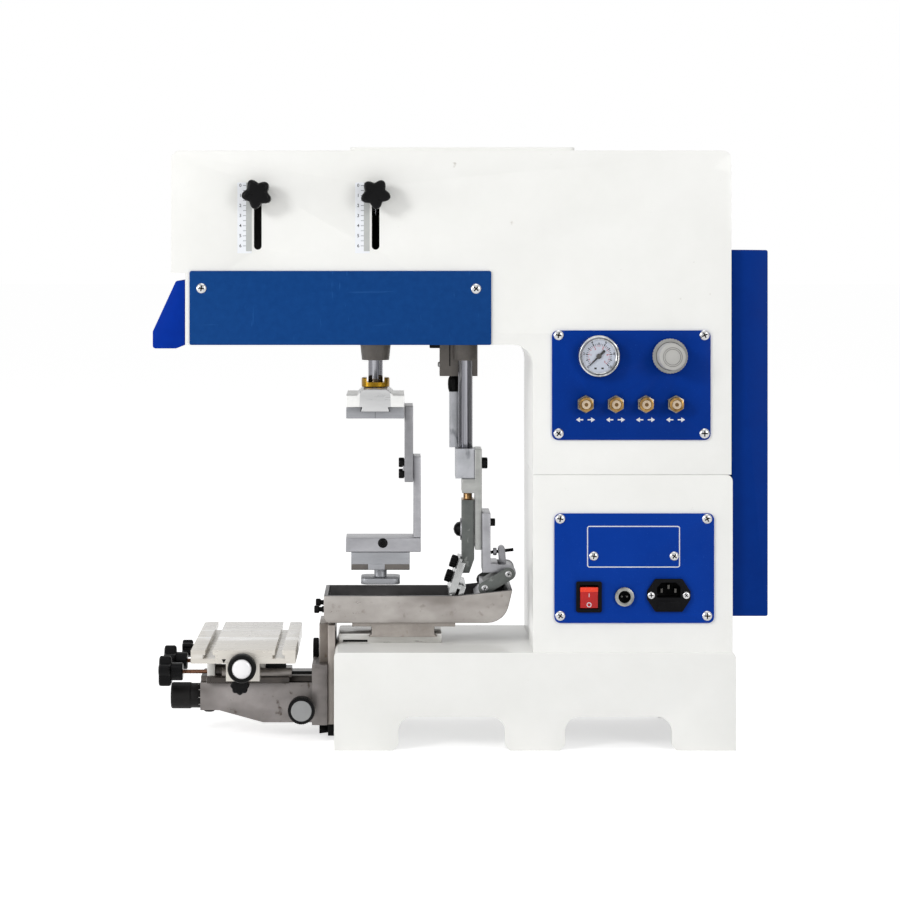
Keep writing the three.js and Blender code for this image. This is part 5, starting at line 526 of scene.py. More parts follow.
for line in range(WHEEL_LINES):
    length = 3.6 if line % 5 == 0 else 2.6
    mark = slab((SLEEVE_END - length, -0.3, 12.45), (SLEEVE_END, 0.3, 12.72))
    wheel_lines.append(moved(mark, WHEEL, (2 * line + 1) * 180 / WHEEL_LINES, "X"))
made("height_wheel_lines", together(wheel_lines), white_ink, "wheel")

# Knee lock: a moulded black knob on a steel stud that clamps the knee's gib. Its rim is finely ribbed,
# and a grey cap is pressed into its face.
black_gloss = grained("black_gloss", (16, 16, 17), (7, 7, 8), 70, (0.24, 0.36), 0.05, shine=0.1)
steel = grained("steel", (170, 170, 172), (134, 134, 138), 120, (0.25, 0.4), 0.1, metal=0.8)
cap_grey = grained("cap_grey", (162, 163, 163), (147, 148, 149), 46, (0.3, 0.42), 0.05, shine=0.2)
KNEE_LOCK = (-232.9, 0, 34.9)
knee_lock_work = together(
    [
        lobed(
            40, 13.7, 13.4, [(0.9, -67.4), (0.97, -67.1), (1, -66.2), (1, -56), (0.8, -54.4)],
            "Y", KNEE_LOCK,
        ),
        turned([[0, -55], [8, -55], [8, -46.4], [7.4, -45.9], [0, -45.9]], "Y", KNEE_LOCK),
    ],
    [turned([[0, -67.9], [9.6, -67.75], [10.7, -67.2], [10.7, -66], [0, -66]], "Y", KNEE_LOCK)],
    [rod(3.9, -46.2, -33.6, "Y", KNEE_LOCK)],
)
standing_for("knee_lock_knob", knee_lock_work, [black_gloss, cap_grey, steel])

# Saddle: a light alloy casting on an iron sole that is dark with oil and painted shade, with a lug for
# the lead screw and a side rod.
# A black disc on its near side adjusts the gib, and a dark nut on the lug takes the lead screw.
light_alloy = grained(
    "light_alloy", (218, 217, 214), (184, 182, 178), 60, (0.28, 0.42), 0.12,
    stretch=(1, 1, 3), metal=0.45,
)
rod_grey = grained("rod_grey", (138, 133, 129), (98, 93, 90), 50, (0.3, 0.42), 0.1, metal=0.7)
SADDLE_SOLE = 64.3
SIDE_ROD = (0, -33, 67.8)
LEAD_SIDE = -20
LEAD_Z = 66.8


def on_the_side_rod(middle):
    """Whether a face belongs to the saddle's side rod."""
    return middle.y < -27.9 and math.hypot(middle.y - SIDE_ROD[1], middle.z - SIDE_ROD[2]) < 5.3


saddle_work = finish_where(solid_of("saddle"), 1, on_the_side_rod)
finish_where(saddle_work, 2, lambda middle: middle.z < SADDLE_SOLE)
standing_for("saddle", rounded(saddle_work, 0.5), [light_alloy, rod_grey, oil_and_shade])
made(
    "lead_nut",
    turned(
        [[2.4, -321.9], [7, -321.9], [7.5, -321.4], [7.5, -308.5], [7, -308], [2.4, -308]],
        "X", (0, LEAD_SIDE, LEAD_Z), 32,
    ),
    oil_and_shade, "saddle_body",
)
made("side_rod_guide", rod(1.6, -262, -222, "X", SIDE_ROD, 20), dull_black, "knee_body")
made(
    "saddle_gib_disc",
    turned([[0, -30.8], [9.6, -30.8], [10.5, -30.2], [10.5, -27.6], [0, -27.6]], "Y", (-260, 0, 73.4)),
    dull_black, "saddle_body",
)

# Lead screw and lock screws: black moulded star knobs on threaded steel rods.
# The lead screw's rod is browned with oil where it shows between its knob and the lug.
oiled_thread = grained(
    "oiled_thread", (132, 92, 68), (84, 54, 40), 300, (0.3, 0.45), 0.2, metal=0.7,
)
STAR_RINGS = [
    (0.86, -379.45), (0.95, -378.9), (1, -377.7), (1, -368.9), (0.95, -367.5), (0.86, -366.95),
]
STAR_TURN = math.radians(108)


def thread(core, crest, pitch, start, end, axis, centre):
    """A threaded rod, its thread as fine rings."""
    profile = [[0, start], [core, start]]
    for turn in range(int((end - start) / pitch)):
        profile += [[core, start + turn * pitch], [crest, start + (turn + 0.5) * pitch]]
    return turned(profile + [[core, end], [0, end]], axis, centre, 24)


for node, side, height, rod_end in (
    ("saddle_screw", LEAD_SIDE, LEAD_Z, -314), ("table_lock_knob", 38, 68.4, -322),
):
    centre = (0, side, height)
    star = lobed(5, 16, 11.4, STAR_RINGS, "X", centre, turn=STAR_TURN)
    hub = turned([[0, -368], [9, -368], [9, -356.4], [8.2, -355.45], [0, -355.45]], "X", centre)
    shank = thread(1.85, 2.15, 1.5, -356, rod_end, "X", centre)
    standing_for(node, together([star, hub], [shank]), [black_gloss, oiled_thread])
SMALL_LOCK = (0, 62, 77)
small_lock_work = together(
    [
        lobed(
            5, 9.5, 6.9, [(0.84, -362.7), (0.95, -362.2), (1, -361.2), (1, -353.2), (0.84, -351.7)],
            "X", SMALL_LOCK, turn=math.radians(90),
        ),
        rod(4.75, -352.5, -344.2, "X", SMALL_LOCK),
    ],
    [rod(2.1, -345, -322, "X", SMALL_LOCK, 24)],
)
standing_for("small_lock_knob", small_lock_work, [black_gloss, steel])
SADDLE_LOCK = (-294.32, 0, 60.8)
saddle_lock_work = together(
    [
        lobed(
            8, 9.5, 8.3, [(0.8, -71), (0.94, -70.6), (1, -69.6), (1, -61.6), (0.85, -60)],
            "Y", SADDLE_LOCK,
        ),
        rod(5.4, -60.6, -54, "Y", SADDLE_LOCK),
    ],
    [rod(2.4, -54.5, -30, "Y", SADDLE_LOCK, 24)],
)
standing_for("saddle_lock_knob", saddle_lock_work, [black_gloss, steel])

# Work table: a bright milled alloy plate with two T-slots, under a creased protective film.
# A printed black mark on the near edge shows the middle of the table's travel.
# Painted highlight and shade: the film's pale streaks are highlights along its creases, and its darker
# streaks are the shade in them.
film_crease_highlight_and_shade = spotted(
    spotted(
        grained(
            "film_crease_highlight_and_shade", (222, 217, 208), (204, 199, 190), 28, (0.2, 0.36), 0.5,
            stretch=(0.35, 1.3, 1), spread=0.22, metal=0.25, coat=0.3,
        ),
        (246, 245, 241), 26, 0.6, stretch=(0.25, 1.6, 1),
    ),
    (178, 172, 162), 30, 0.63, stretch=(0.3, 1.8, 1), fade=0.14,
)
TABLE_EDGE = -95
dressed("work_table", film_crease_highlight_and_shade, 0.5)


def plate_of(outline, near, far):
    """A flat plate: an outline of [X, Z] points pulled along Y."""
    work = bmesh.new()
    front = work.faces.new([work.verts.new((across, near, height)) for across, height in outline])
    pulled = bmesh.ops.extrude_face_region(work, geom=[front])["geom"]
    back = [part for part in pulled if isinstance(part, bmesh.types.BMVert)]
    bmesh.ops.translate(work, vec=(0, far - near, 0), verts=back)
    bmesh.ops.recalc_face_normals(work, faces=work.faces)
    return work


made(
    "table_mark",
    plate_of(((-310.8, 91.5), (-306.4, 91.5), (-308.6, 87.5)), TABLE_EDGE - 0.12, TABLE_EDGE + 0.18),
    dull_black, "table",
)

# Table screw: a black moulded knob with a domed white cap pressed in. It turns the threaded steel rod
# that moves the table sideways.
cap_white = grained("cap_white", (254, 252, 252), (244, 243, 245), 30, (0.12, 0.2), 0.03, coat=0.6)
TABLE_SCREW = (-289.84, 0, 84.6)
table_screw_work = together(
    [
        turned(
            [[9.6, -112.6], [9.9, -114.1], [11.4, -114.3], [13.2, -113.4], [14, -111.6], [14, -102.2],
             [13, -100], [11.6, -99.3], [8, -99.3], [8, -95.4], [0, -95.4]],
            "Y", TABLE_SCREW,
        ),
    ],
    [
        turned(
            [[0, -115.3], [3, -115.2], [6.4, -114.7], [8.8, -113.9], [9.7, -113], [9.7, -112.2],
             [0, -112.2]],
            "Y", TABLE_SCREW,
        ),
    ],
    [thread(2.6, 3, 2, -96, -20, "Y", TABLE_SCREW)],
)
standing_for("table_screw", table_screw_work, [dull_black, cap_white, steel])

# Guide frame, cylinders and carriage: ground rods between two plates inside the arm, with the carriage
# that slides on them, its drive cylinder beside it and the pad's cylinder on top. Both cylinders are in
# the dark primer as painted shade for the dark seen through the slots.
# The chrome's light and dark streaks along the rods are painted reflections.
chrome = grained(
    "chrome", (186, 186, 192), (58, 58, 64), 330, (0.14, 0.2), 0, stretch=(1, 1, 0.004),
    spread=0.16, metal=0.9,
)
bright_alloy = grained(
    "bright_alloy", (196, 196, 196), (156, 156, 158), 160, (0.3, 0.45), 0.12,
    stretch=(1, 1, 8), metal=0.7,
)
dark_cast = grained("dark_cast", (112, 107, 102), (76, 72, 69), 50, (0.4, 0.55), 0.2, metal=0.4)
# The housing's pale vertical streaks are painted highlights on its dark grey.
housing_grey_sheen = grained(
    "housing_grey_sheen", (156, 154, 152), (98, 96, 93), 90, (0.34, 0.46), 0.1,
    stretch=(1, 1, 0.08), metal=0.6,
)
PAD_X = -159.1
SCRAPER_X = -66.8
CARRIAGE_FOOT = 404


def near_axis(across, reach):
    """A test for the carriage's hanging faces round an upright axis."""
    return lambda middle: middle.z < CARRIAGE_FOOT and math.hypot(middle.x - across, middle.y) < reach


dressed("guide_frame", steel, 0.5)
dressed("drive_cylinder", primer_and_shade)
carriage_work = split_at(solid_of("carriage"), CARRIAGE_FOOT)
finish_where(carriage_work, 2, lambda middle: middle.z < CARRIAGE_FOOT and -93 < middle.x < -53.8)
finish_where(carriage_work, 1, near_axis(PAD_X, 17))
finish_where(carriage_work, 1, near_axis(SCRAPER_X, 13))
standing_for("carriage", rounded(carriage_work, 0.8, 3), [light_alloy, dark_cast, housing_grey_sheen])
# A thin black line on the housing is painted shade for a groove.
housing_shadow_line = slab((-83.1, 7.85, 377), (-82, 8.3, 402))
made("housing_shadow_line", housing_shadow_line, dull_black, "print_carriage")
housing_clip = rounded(slab((-103.4, 8, 395.5), (-92.6, 20, 403.5)), 0.8)
made("housing_clip", housing_clip, dull_black, "print_carriage")
dressed("pad_cylinder", primer_and_shade)

# Pad head: a chromed rod out of the carriage's boss, a brass ring nut with two ears, and the head
# block that the nut pulls up. The block is bright alloy with painted highlights on its wings, and the
# slide under it has a scribed mark.
brass = grained("brass", (182, 138, 32), (98, 76, 14), 90, (0.2, 0.34), 0.08, metal=0.9)
head_alloy = spotted(
    grained(
        "head_alloy", (214, 214, 214), (180, 181, 182), 30, (0.24, 0.38), 0.08,
        stretch=(0.4, 1, 3), metal=0.4,
    ),
    (168, 169, 172), 60, 0.66, stretch=(1, 1, 4),
)
slide_alloy = grained(
    "slide_alloy", (160, 161, 165), (132, 134, 138), 40, (0.28, 0.4), 0.08,
    stretch=(0.3, 1, 3), metal=0.6,
)
head_painted_highlight = grained("head_painted_highlight", (244, 244, 242), (226, 226, 224), 40, (0.3, 0.4), 0.05, metal=0.3)
NUT_AXIS = (PAD_X, 0, 0)
EAR_FOOT = 361.3
EAR_START = 9
HEAD_WING = 15.9
HEAD_SHOULDER = 352.9
dressed("pad_shaft", chrome, 0.3)
nut_parts = [
    turned(
        [[7.9, 356.4], [13.6, 356.3], [14.4, 357.1], [14.4, 361.4], [7.9, 361.4], [7.9, 356.4]],
        "Z", NUT_AXIS, 72,
    ),
]
block_work = solid_of("head_block")
for side in (-1, 1):
    ear = turned(
        [[7.9, EAR_FOOT], [14.4, EAR_FOOT], [14.4, 365.2], [13.6, 366], [8.6, 366], [7.9, 365.4],
         [7.9, EAR_FOOT]],
        "Z", NUT_AXIS, 72,
    )
    nut_parts.append(cut(ear, (PAD_X + side * EAR_START, 0, 0), (-side, 0, 0), away=True))
    cut(block_work, (PAD_X + side * HEAD_WING, 0, 0), (1, 0, 0))
standing_for("ring_nut", together(nut_parts), brass)
# Painted highlight: the block's wings below its shoulder are a brighter copy of its alloy.
finish_where(
    block_work, 1, lambda middle: abs(middle.x - PAD_X) > HEAD_WING and middle.z < HEAD_SHOULDER,
)
standing_for("head_block", rounded(block_work, 0.8, 3), [head_alloy, head_painted_highlight])
dressed("offset_slide", slide_alloy, 0.7, 3)
made("slide_mark", slab((-159.3, -35.12, 326.4), (-158.9, -34.8, 332.5)), dull_black, "pad_arm")

# Pad arm: flat bars screwed in steps down to the foot, under which the holder carries the pad's plate.
# The bars and the holder are milled alloy, and the screws are black.
# The upper bar's alloy is a darker copy of the other bars' alloy, as painted shade.
upper_bar_shade = grained(
    "upper_bar_shade", (146, 146, 149), (118, 118, 121), 36, (0.28, 0.42), 0.1,
    stretch=(1, 1, 2.4), metal=0.65,
)
bar_alloy = grained(
    "bar_alloy", (172, 172, 176), (142, 142, 146), 36, (0.28, 0.42), 0.1,
    stretch=(1, 1, 2.4), metal=0.65,
)
holder_alloy = grained(
    "holder_alloy", (160, 161, 165), (134, 136, 140), 50, (0.3, 0.45), 0.12,
    stretch=(0.4, 1, 2), metal=0.6,
)


def cap_screw(name, seat, radius, height, axis, way, body):
    """A socket cap screw: its seat is where the head meets the surface it clamps."""
    hole = radius * 0.5
    profile = [
        [0, 0], [radius * 0.8, 0], [radius * 0.8, 0.5], [radius, 0.7], [radius, height * 0.86],
        [radius * 0.9, height], [hole, height], [hole, height * 0.45], [0, height * 0.45],
    ]
    head = turned([[r, way * along] for r, along in profile], axis, seat, 40)
    return made(name, head, black_gloss, body)


def button_screw(name, seat, radius, height, way, body, finish, axis="Y"):
    """A button-head socket screw, domed, with its dark socket."""
    hole = radius * 0.42
    profile = [
        [hole, height * 0.4], [hole, height], [radius * 0.62, height * 0.92],
        [radius * 0.84, height * 0.68], [radius * 0.98, height * 0.3], [radius, 0], [0, 0],
    ]
    head = turned([[r, way * along] for r, along in profile], axis, seat, 40)
    socket = turned([[0, way * height * 0.4], [hole, way * height * 0.4]], axis, seat, 6)
    return made(name, together([head], [socket]), [finish, dull_black], body)


def cross_screw(name, seat, radius, height, finish, body="machine_frame", turn=20):
    """A pan-head screw with a cross recess, its head towards -Y."""
    profile = [
        [0, 0], [radius, 0], [radius, -height * 0.25], [radius * 0.8, -height * 0.75],
        [radius * 0.45, -height * 0.97], [0, -height],
    ]
    reach = radius * 0.6
    side = radius * 0.13
    arms = []
    for quarter in (0, 90):
        arm = slab((-reach, -side, -height * 1.015), (reach, side, -height * 0.5))
        arms.append(placed(moved(arm, (0, 0, 0), quarter + turn, "Z"), "Y", seat))
    head = turned(profile, "Y", seat, 36)
    return made(name, together([head], arms), [finish, dull_black], body)


dressed("upper_bar", upper_bar_shade)
dressed("lower_bar", bar_alloy)
dressed("foot_bar", bar_alloy, 0.8, 3)
dressed("pad_holder", holder_alloy, 0.5)
dressed("pad_plate", holder_alloy, 0.5, 3)
for number, height in enumerate((278.5, 267)):
    cap_screw(f"bar_screw_{number + 1}", (-129.3, 0, height), 5, 6, "X", -1, "pad_arm")
washer_profile = [[0, -131.2], [4.4, -131.2], [4.6, -130.8], [4.6, -129.2], [0, -129.2]]
washer = turned(washer_profile, "X", (0, 0, 272.7), 32)
made("bar_screw_washer", washer, steel, "pad_arm")
button_screw("foot_screw", (-151.5, -20, 197.8), 5, 1.6, -1, "pad_arm", black_gloss)
# Two dark strips on the holder's front at its foot are painted shade where its underside is cut back at
# the ends; the piece between them is in the holder's alloy.
for number, (low, high) in enumerate(((-183.4, -166.5), (-149.5, -124.4))):
    strip_of_shade = rounded(slab((low, -20.5, 170.7), (high, -19.5, 176.2)), 0.3)
    made(f"holder_rail_{number + 1}", strip_of_shade, dark_cast, "pad_arm")
foot_middle = rounded(slab((-166.5, -20.6, 170.6), (-149.5, -19.5, 176.4)), 0.4)
made("holder_rail_clamp", foot_middle, holder_alloy, "pad_arm")

# Scraper head: a second chromed rod carries a clamp, a keeper bar with a rubber bumper, and the
# carrier that the blade holder slides on. The holder is anodised alloy, and a brass nut sets its height.
clamp_alloy = spotted(
    grained("clamp_alloy", (188, 189, 194), (152, 154, 158), 55, (0.28, 0.42), 0.15, metal=0.6),
    (122, 124, 128), 70, 0.6, stretch=(1, 1, 0.5),
)
carrier_alloy = grained(
    "carrier_alloy", (176, 177, 174), (140, 141, 139), 40, (0.28, 0.42), 0.12,
    stretch=(1, 1, 3), metal=0.6,
)
holder_green = spotted(
    grained("holder_green", (102, 105, 102), (74, 78, 76), 60, (0.34, 0.48), 0.15, metal=0.4),
    (134, 137, 134), 110, 0.66,
)
nut_brown = grained("nut_brown", (176, 142, 98), (112, 84, 56), 140, (0.24, 0.36), 0.1, metal=0.9)
blade_steel = grained(
    "blade_steel", (184, 185, 184), (148, 149, 149), 90, (0.18, 0.3), 0.06,
    stretch=(1, 4, 1), metal=0.8,
)
KEEPER_X = -78.4
KEEPER_Y = 14
BUMPER_FOOT = 350.3
HEIGHT_NUT_X = -64.3
HEIGHT_NUT_Z = 236.4


def on_the_bumper(middle):
    """Whether a face belongs to the rubber on top of the keeper bar."""
    return middle.z > BUMPER_FOOT and math.hypot(middle.x - KEEPER_X, middle.y - KEEPER_Y) < 4.7


dressed("scraper_shaft", chrome, 0.3)
clamp_work = finish_where(split_at(solid_of("scraper_clamp"), BUMPER_FOOT), 1, on_the_bumper)
standing_for("scraper_clamp", rounded(clamp_work, 1.0, 3), [clamp_alloy, dull_black])
made(
    "keeper_bumper",
    turned(
        [[0, 350.2], [4.7, 350.2], [5.7, 353.4], [6.1, 358], [5.9, 362.4], [5, 365.4], [4.2, 366.3],
         [0, 366.3]],
        "Z", (KEEPER_X, KEEPER_Y, 0), 40,
    ),
    dull_black, "scraper_head",
)
dressed("blade_carrier", carrier_alloy)
holder_work = solid_of("blade_holder")
finish_where(
    holder_work, 1, lambda middle: middle.z > HEIGHT_NUT_Z and abs(middle.x - HEIGHT_NUT_X) < 4.8,
)
finish_where(holder_work, 2, lambda middle: -72.2 < middle.x < -70.7)
finish_where(holder_work, 3, lambda middle: middle.x < -72.15)
standing_for("blade_holder", rounded(holder_work, 0.35), [holder_green, nut_brown, steel, black_gloss])
cap_screw("carrier_screw", (-50.3, 0, 277.9), 5.8, 6.3, "X", 1, "scraper_head")
cap_screw("bracket_screw", (-41.7, 0, 217), 4, 5.6, "X", 1, "scraper_head")

# Doctor blade: a thin steel blade between two milled plates, leaning forward. Two fluted black screws
# press the front plate on the blade, a small tab stands on top, and a second leg hangs behind.
BLADE_LEAN = 19
BLADE_TIP = (-83.9, 0, 141)
blade_parts = [
    slab((-3.4, -36, 7), (3.4, -14.3, 41)),
    slab((-3.4, 14.3, 7), (3.4, 36, 41)),
    slab((-3.4, -14.4, 7), (-1.4, 14.4, 41)),
    slab((-0.6, -36, 0), (0.6, 36, 8)),
    slab((3.2, -36, 14.5), (7, 36, 19)),
    slab((6.5, -36, 4.6), (11.5, 36, 19)),
    slab((-3.2, -34, 40), (-0.8, -26, 43.6)),
]
blade_screws = [
    lobed(
        14, 6.5, 5.8, [(0.84, -10.3), (1, -9.6), (1, -4.4), (0.84, -3.5)], "X", (0, 0, along),
        fullness=0.6,
    )
    for along in (19.9, 35.6)
]
doctor_work = together([rounded(part, 0.35) for part in blade_parts], blade_screws)
standing_for("doctor_blade", moved(doctor_work, BLADE_TIP, BLADE_LEAN), [blade_steel, black_gloss])

# Flood lever: dark anodised arms swing on the bracket's pin and carry the flood blade, and the set
# screw in the lug stops them against the bracket.
PIVOT = (-23.8, 168)
ARM_END = (-47.9, 153.7)
PIN = (PIVOT[0], 0, PIVOT[1])


def link(first, second, radius):
    """The outline round two circles of one size, as [X, Z] points."""
    lean = math.atan2(second[1] - first[1], second[0] - first[0])
    outline = []
    for centre, start in ((first, lean + math.pi / 2), (second, lean - math.pi / 2)):
        for step in range(13):
            angle = start + math.pi * step / 12
            across = centre[0] + radius * math.cos(angle)
            outline.append((across, centre[1] + radius * math.sin(angle)))
    return outline


dressed("flood_bracket", bar_alloy)
flood_arms = [
    rounded(plate_of(link(PIVOT, ARM_END, 6.5), side - 1, side + 1), 0.25) for side in (-34, 34)
]
flood_arms.append(plate_of(link((-29.5, 164.6), ARM_END, 4), -17.2, 17.2))
flood_metal = [
    hoop(3.3, 7.2, -17.2, 17.2, "Y", PIN),
    rounded(slab((-51.9, -33.2, 149.7), (-43.9, 33.2, 157.7)), 0.5),
    plate_of(((-47.9, 153.7), (-57.9, 143.7), (-56.7, 143.7), (-45.5, 153.7)), -33.2, 33.2),
    rounded(plate_of(link((-28.3, 173.5), (-29.7, 189.5), 3.5), -8, 8), 0.5),
    lobed(6, 3.9, 3.5, [(0.92, -38.2), (1, -37.8), (1, -35), (0.92, -34.6)], "X", (0, 0, 186.8)),
]
flood_metal += [rod(3, side * 25.3, side * 33.4, "Y", PIN) for side in (-1, 1)]
set_screw = moved(thread(1.5, 1.85, 1, -11.6, 12, "X", (0, 0, 0)), (-29.2, 0, 187.4), -7)
flood_work = together(flood_arms, flood_metal, [set_screw])
standing_for("flood_lever", flood_work, [holder_green, bar_alloy, dull_black])
for number, (across, height) in enumerate((PIVOT, ARM_END)):
    seat = (across, -35, height)
    cross_screw(f"flood_arm_screw_{number + 1}", seat, 3.4, 1.4, bright_alloy, "flood_arm")
button_screw(
    "housing_screw", (-92.9, 19, 378.2), 3, 2, -1, "print_carriage", bright_alloy, "X",
)

# Covers: sheet steel screwed to the arm. The side cover is darker and scratched, the front guard is
# folded and brighter, the rear cover closes the column's back, and the white top cover is the arm's lid.
side_blue = spotted(
    spotted(
        grained("side_blue", (19, 69, 134), (13, 60, 122), 150, (0.4, 0.52), 0.06, shine=0.05),
        (30, 79, 143), 420, 0.68, stretch=(1, 1, 0.12),
    ),
    (40, 88, 149), 150, 0.7, stretch=(0.06, 1, 1),
)
guard_blue = grained("guard_blue", (3, 51, 158), (2, 45, 146), 90, (0.4, 0.52), 0.08, shine=0.05)
rear_blue = grained("rear_blue", (3, 50, 134), (2, 43, 122), 30, (0.4, 0.52), 0.05, shine=0.05)
screw_chrome = grained(
    "screw_chrome", (214, 214, 214), (160, 160, 162), 220, (0.16, 0.26), 0.05, metal=0.9,
)
COVER_FACE = -92
COVER_TOP = 598.6
dressed("side_cover", side_blue, 0.5)
dressed("front_guard", guard_blue, 0.9)
dressed("rear_cover", rear_blue, 0.9)
dressed("top_cover", white_enamel, 0.9)
for number, (across, height) in enumerate(((-331.1, 459), (-58.5, 458.6))):
    seat = (across, COVER_FACE, height)
    cross_screw(f"side_cover_screw_{number + 1}", seat, 4.9, 2, screw_chrome, turn=8 + 34 * number)
for number, (across, side) in enumerate(
    (across, side) for across in (-175.4, -71.6, 32.9) for side in (-58, 58)
):
    button_screw(
        f"top_cover_screw_{number + 1}", (across, side, COVER_TOP), 4, 1.25, 1, "machine_frame",
        screw_chrome, "Z",
    )

# Stroke stops: a steel shoe inside the arm on a stud through each slot, clamped outside by a glossy
# black star knob. A printed paper scale in centimetres is stuck beside each slot.
ARM_FACE = -90
INK = 0.05
SCALE_ZERO = 561.1
STAR_Z = 552.4
paper = spotted(
    grained("paper", (246, 248, 252), (238, 241, 246), 40, (0.5, 0.6), 0.02, shine=0.2),
    (216, 216, 216), 90, 0.72,
)
printed_grey = grained("printed_grey", (194, 196, 194), (180, 183, 181), 80, (0.5, 0.6), 0)
printed_tick = grained("printed_tick", (80, 82, 88), (60, 62, 68), 80, (0.5, 0.6), 0)
printed_black = grained("printed_black", (34, 34, 36), (24, 24, 26), 120, (0.5, 0.6), 0)


def numeral(text, height, centre):
    """A printed figure that faces -Y."""
    figure = bpy.data.curves.new("figure", "FONT")
    figure.body = text
    figure.size = height * 1.4
    figure.extrude = INK
    figure.offset = height * 0.02
    figure.resolution_u = 3
    figure.align_x = "CENTER"
    figure.align_y = "CENTER"
    holder = bpy.data.objects.new("figure", figure)
    mesh = bpy.data.meshes.new_from_object(holder)
    bpy.data.objects.remove(holder)
    bpy.data.curves.remove(figure)
    work = bmesh.new()
    work.from_mesh(mesh)
    bpy.data.meshes.remove(mesh)
    return moved(work, centre, 90, "X")


def stroke_scale(name, left):
    """The paper scale beside a slot: centimetres from the top down, with ticks at each half."""
    face = ARM_FACE - 0.12
    ticks = []
    figures = []
    for step in range(13):
        height = SCALE_ZERO - 5 * step
        tick = slab((left + 5.5, face - INK, height - 0.22), (left + 8.5, face + INK, height + 0.22))
        ticks.append(tick)
        if step % 2 == 0:
            figures.append(numeral(str(step // 2), 3.2, (left + 2.9, face, height)))
    sheet = slab((left, face, 493.8), (left + 14.2, ARM_FACE + INK, 564))
    strip = slab((left + 8.5, face - INK, 495.8), (left + 14.2, face + INK, 564))
    work = together([sheet], [strip], ticks, figures)
    return made(name, work, [paper, printed_grey, printed_tick, printed_black])


stroke_scale("front_scale", -295.4)
stroke_scale("rear_scale", -178.4)
for end, slot_x, star_turn in (("front", -275.2, 99), ("rear", -158.2, 85)):
    dressed(f"stroke_stop_{end}", dull_black, 0.5)
    centre = (slot_x, 0, STAR_Z)
    star = lobed(
        5, 15.2, 10.8,
        [(0.72, -113.3), (0.84, -113), (0.93, -112.2), (0.98, -111), (1, -109.4), (1, -101.4),
         (0.95, -99.4), (0.84, -98.3)],
        "Y", centre, turn=math.radians(star_turn),
    )
    hub = turned([[0, -99], [8, -99], [8, -91.2], [7.4, -90.3], [0, -90.3]], "Y", centre)
    standing_for(f"stroke_knob_{end}", together([star, hub]), black_gloss)

# Control panel: a blue anodised plate over the window in the column, held by four pan-head screws.
# It carries the gauge, the pressure regulator and the four throttles.
panel_blue = spotted(
    grained("panel_blue", (4, 53, 146), (2, 45, 126), 12, (0.34, 0.46), 0.1, shine=0.05),
    (24, 68, 158), 900, 0.66,
)
power_blue = spotted(
    grained("power_blue", (9, 59, 156), (5, 53, 146), 12, (0.34, 0.46), 0.1, shine=0.05),
    (34, 78, 172), 900, 0.66,
)
dressed("control_panel", panel_blue, 0.4)


def panel_screws(name, across_places, heights, radius):
    """Pan-head screws in rows and columns on a panel, none turned quite like the next."""
    for number, (across, height) in enumerate(
        (across, height) for across in across_places for height in heights
    ):
        seat = (across, COVER_FACE, height)
        cross_screw(f"{name}_{number + 1}", seat, radius, 2, screw_chrome, turn=10 + 27 * number)


panel_screws("control_panel_screw", (23.4, 168.2), (412.5, 315), 4.9)

# Pressure gauge: a chromed case with a printed dial sunk in its bezel, and a needle on its hub.
# Black figures and ticks run over three quarters of the dial, round a second scale in red.
# The bezel's light and dark patches are painted reflections.
bezel_chrome = grained(
    "bezel_chrome", (246, 247, 248), (52, 54, 58), 34, (0.1, 0.18), 0, stretch=(1, 0.1, 1),
    spread=0.16, metal=0.9,
)
dial_white = grained("dial_white", (204, 209, 220), (190, 196, 210), 30, (0.4, 0.5), 0, shine=0.3)
dial_red = grained("dial_red", (186, 44, 48), (166, 30, 36), 60, (0.4, 0.5), 0, shine=0.1)
hub_grey = grained("hub_grey", (86, 84, 82), (62, 60, 60), 60, (0.3, 0.4), 0.03, shine=0.3)
GAUGE = (63.0, 0, 391.9)
DIAL_FACE = -98
PRINT_FRONT = DIAL_FACE - 0.1
PRINT_BACK = DIAL_FACE + INK
NEEDLE_FRONT = -99.9
SWEEP = 270
FIRST_MARK = 225


def on_dial(radius, share):
    """A figure's place on the dial, at a share of the needle's sweep from its rest."""
    angle = math.radians(FIRST_MARK - SWEEP * share)
    return (GAUGE[0] + radius * math.cos(angle), PRINT_FRONT, GAUGE[2] + radius * math.sin(angle))


def dial_tick(inner, outer, width, share):
    """A printed line on the dial that points at its middle."""
    tick = slab((inner, PRINT_FRONT, -width / 2), (outer, PRINT_BACK, width / 2))
    return moved(tick, (GAUGE[0], 0, GAUGE[2]), SWEEP * share - FIRST_MARK)


gauge_case = turned(
    [[0, -68], [19.2, -68], [19.4, -69], [19.4, -92.3], [20.4, -92.3], [20.7, -93], [20.7, -101.6],
     [20.1, -102.7], [19.4, -103], [18.7, -102.6], [18.2, -101.4], [16.7, -100.2], [16.6, -98.1]],
    "Y", GAUGE, 96,
)
gauge_dial = turned([[18.5, -98.3], [18.5, -97.9], [0, -97.9], [0, -98], [18.5, -98]], "Y", GAUGE, 96)
dial_print = []
dial_second = []
for mark in range(31):
    main = mark % 3 == 0
    dial_print.append(dial_tick(11.1, 13.4 if main else 12.7, 1.05 if main else 0.5, mark / 30))
    dial_second.append(dial_tick(9.5 if main else 10, 10.8, 0.6 if main else 0.35, mark / 30))
for figure in range(0, 11, 2):
    dial_print.append(numeral(str(figure), 2.6, on_dial(15.1, figure / 10)))
    dial_second.append(numeral(str(figure // 2), 1.9, on_dial(8.1, figure / 10)))
for side in (-3.5, 3.5):
    block = slab((side - 1.2, PRINT_FRONT, -12.9), (side + 1.2, PRINT_BACK, -11.2))
    dial_print.append(moved(block, (GAUGE[0], 0, GAUGE[2])))
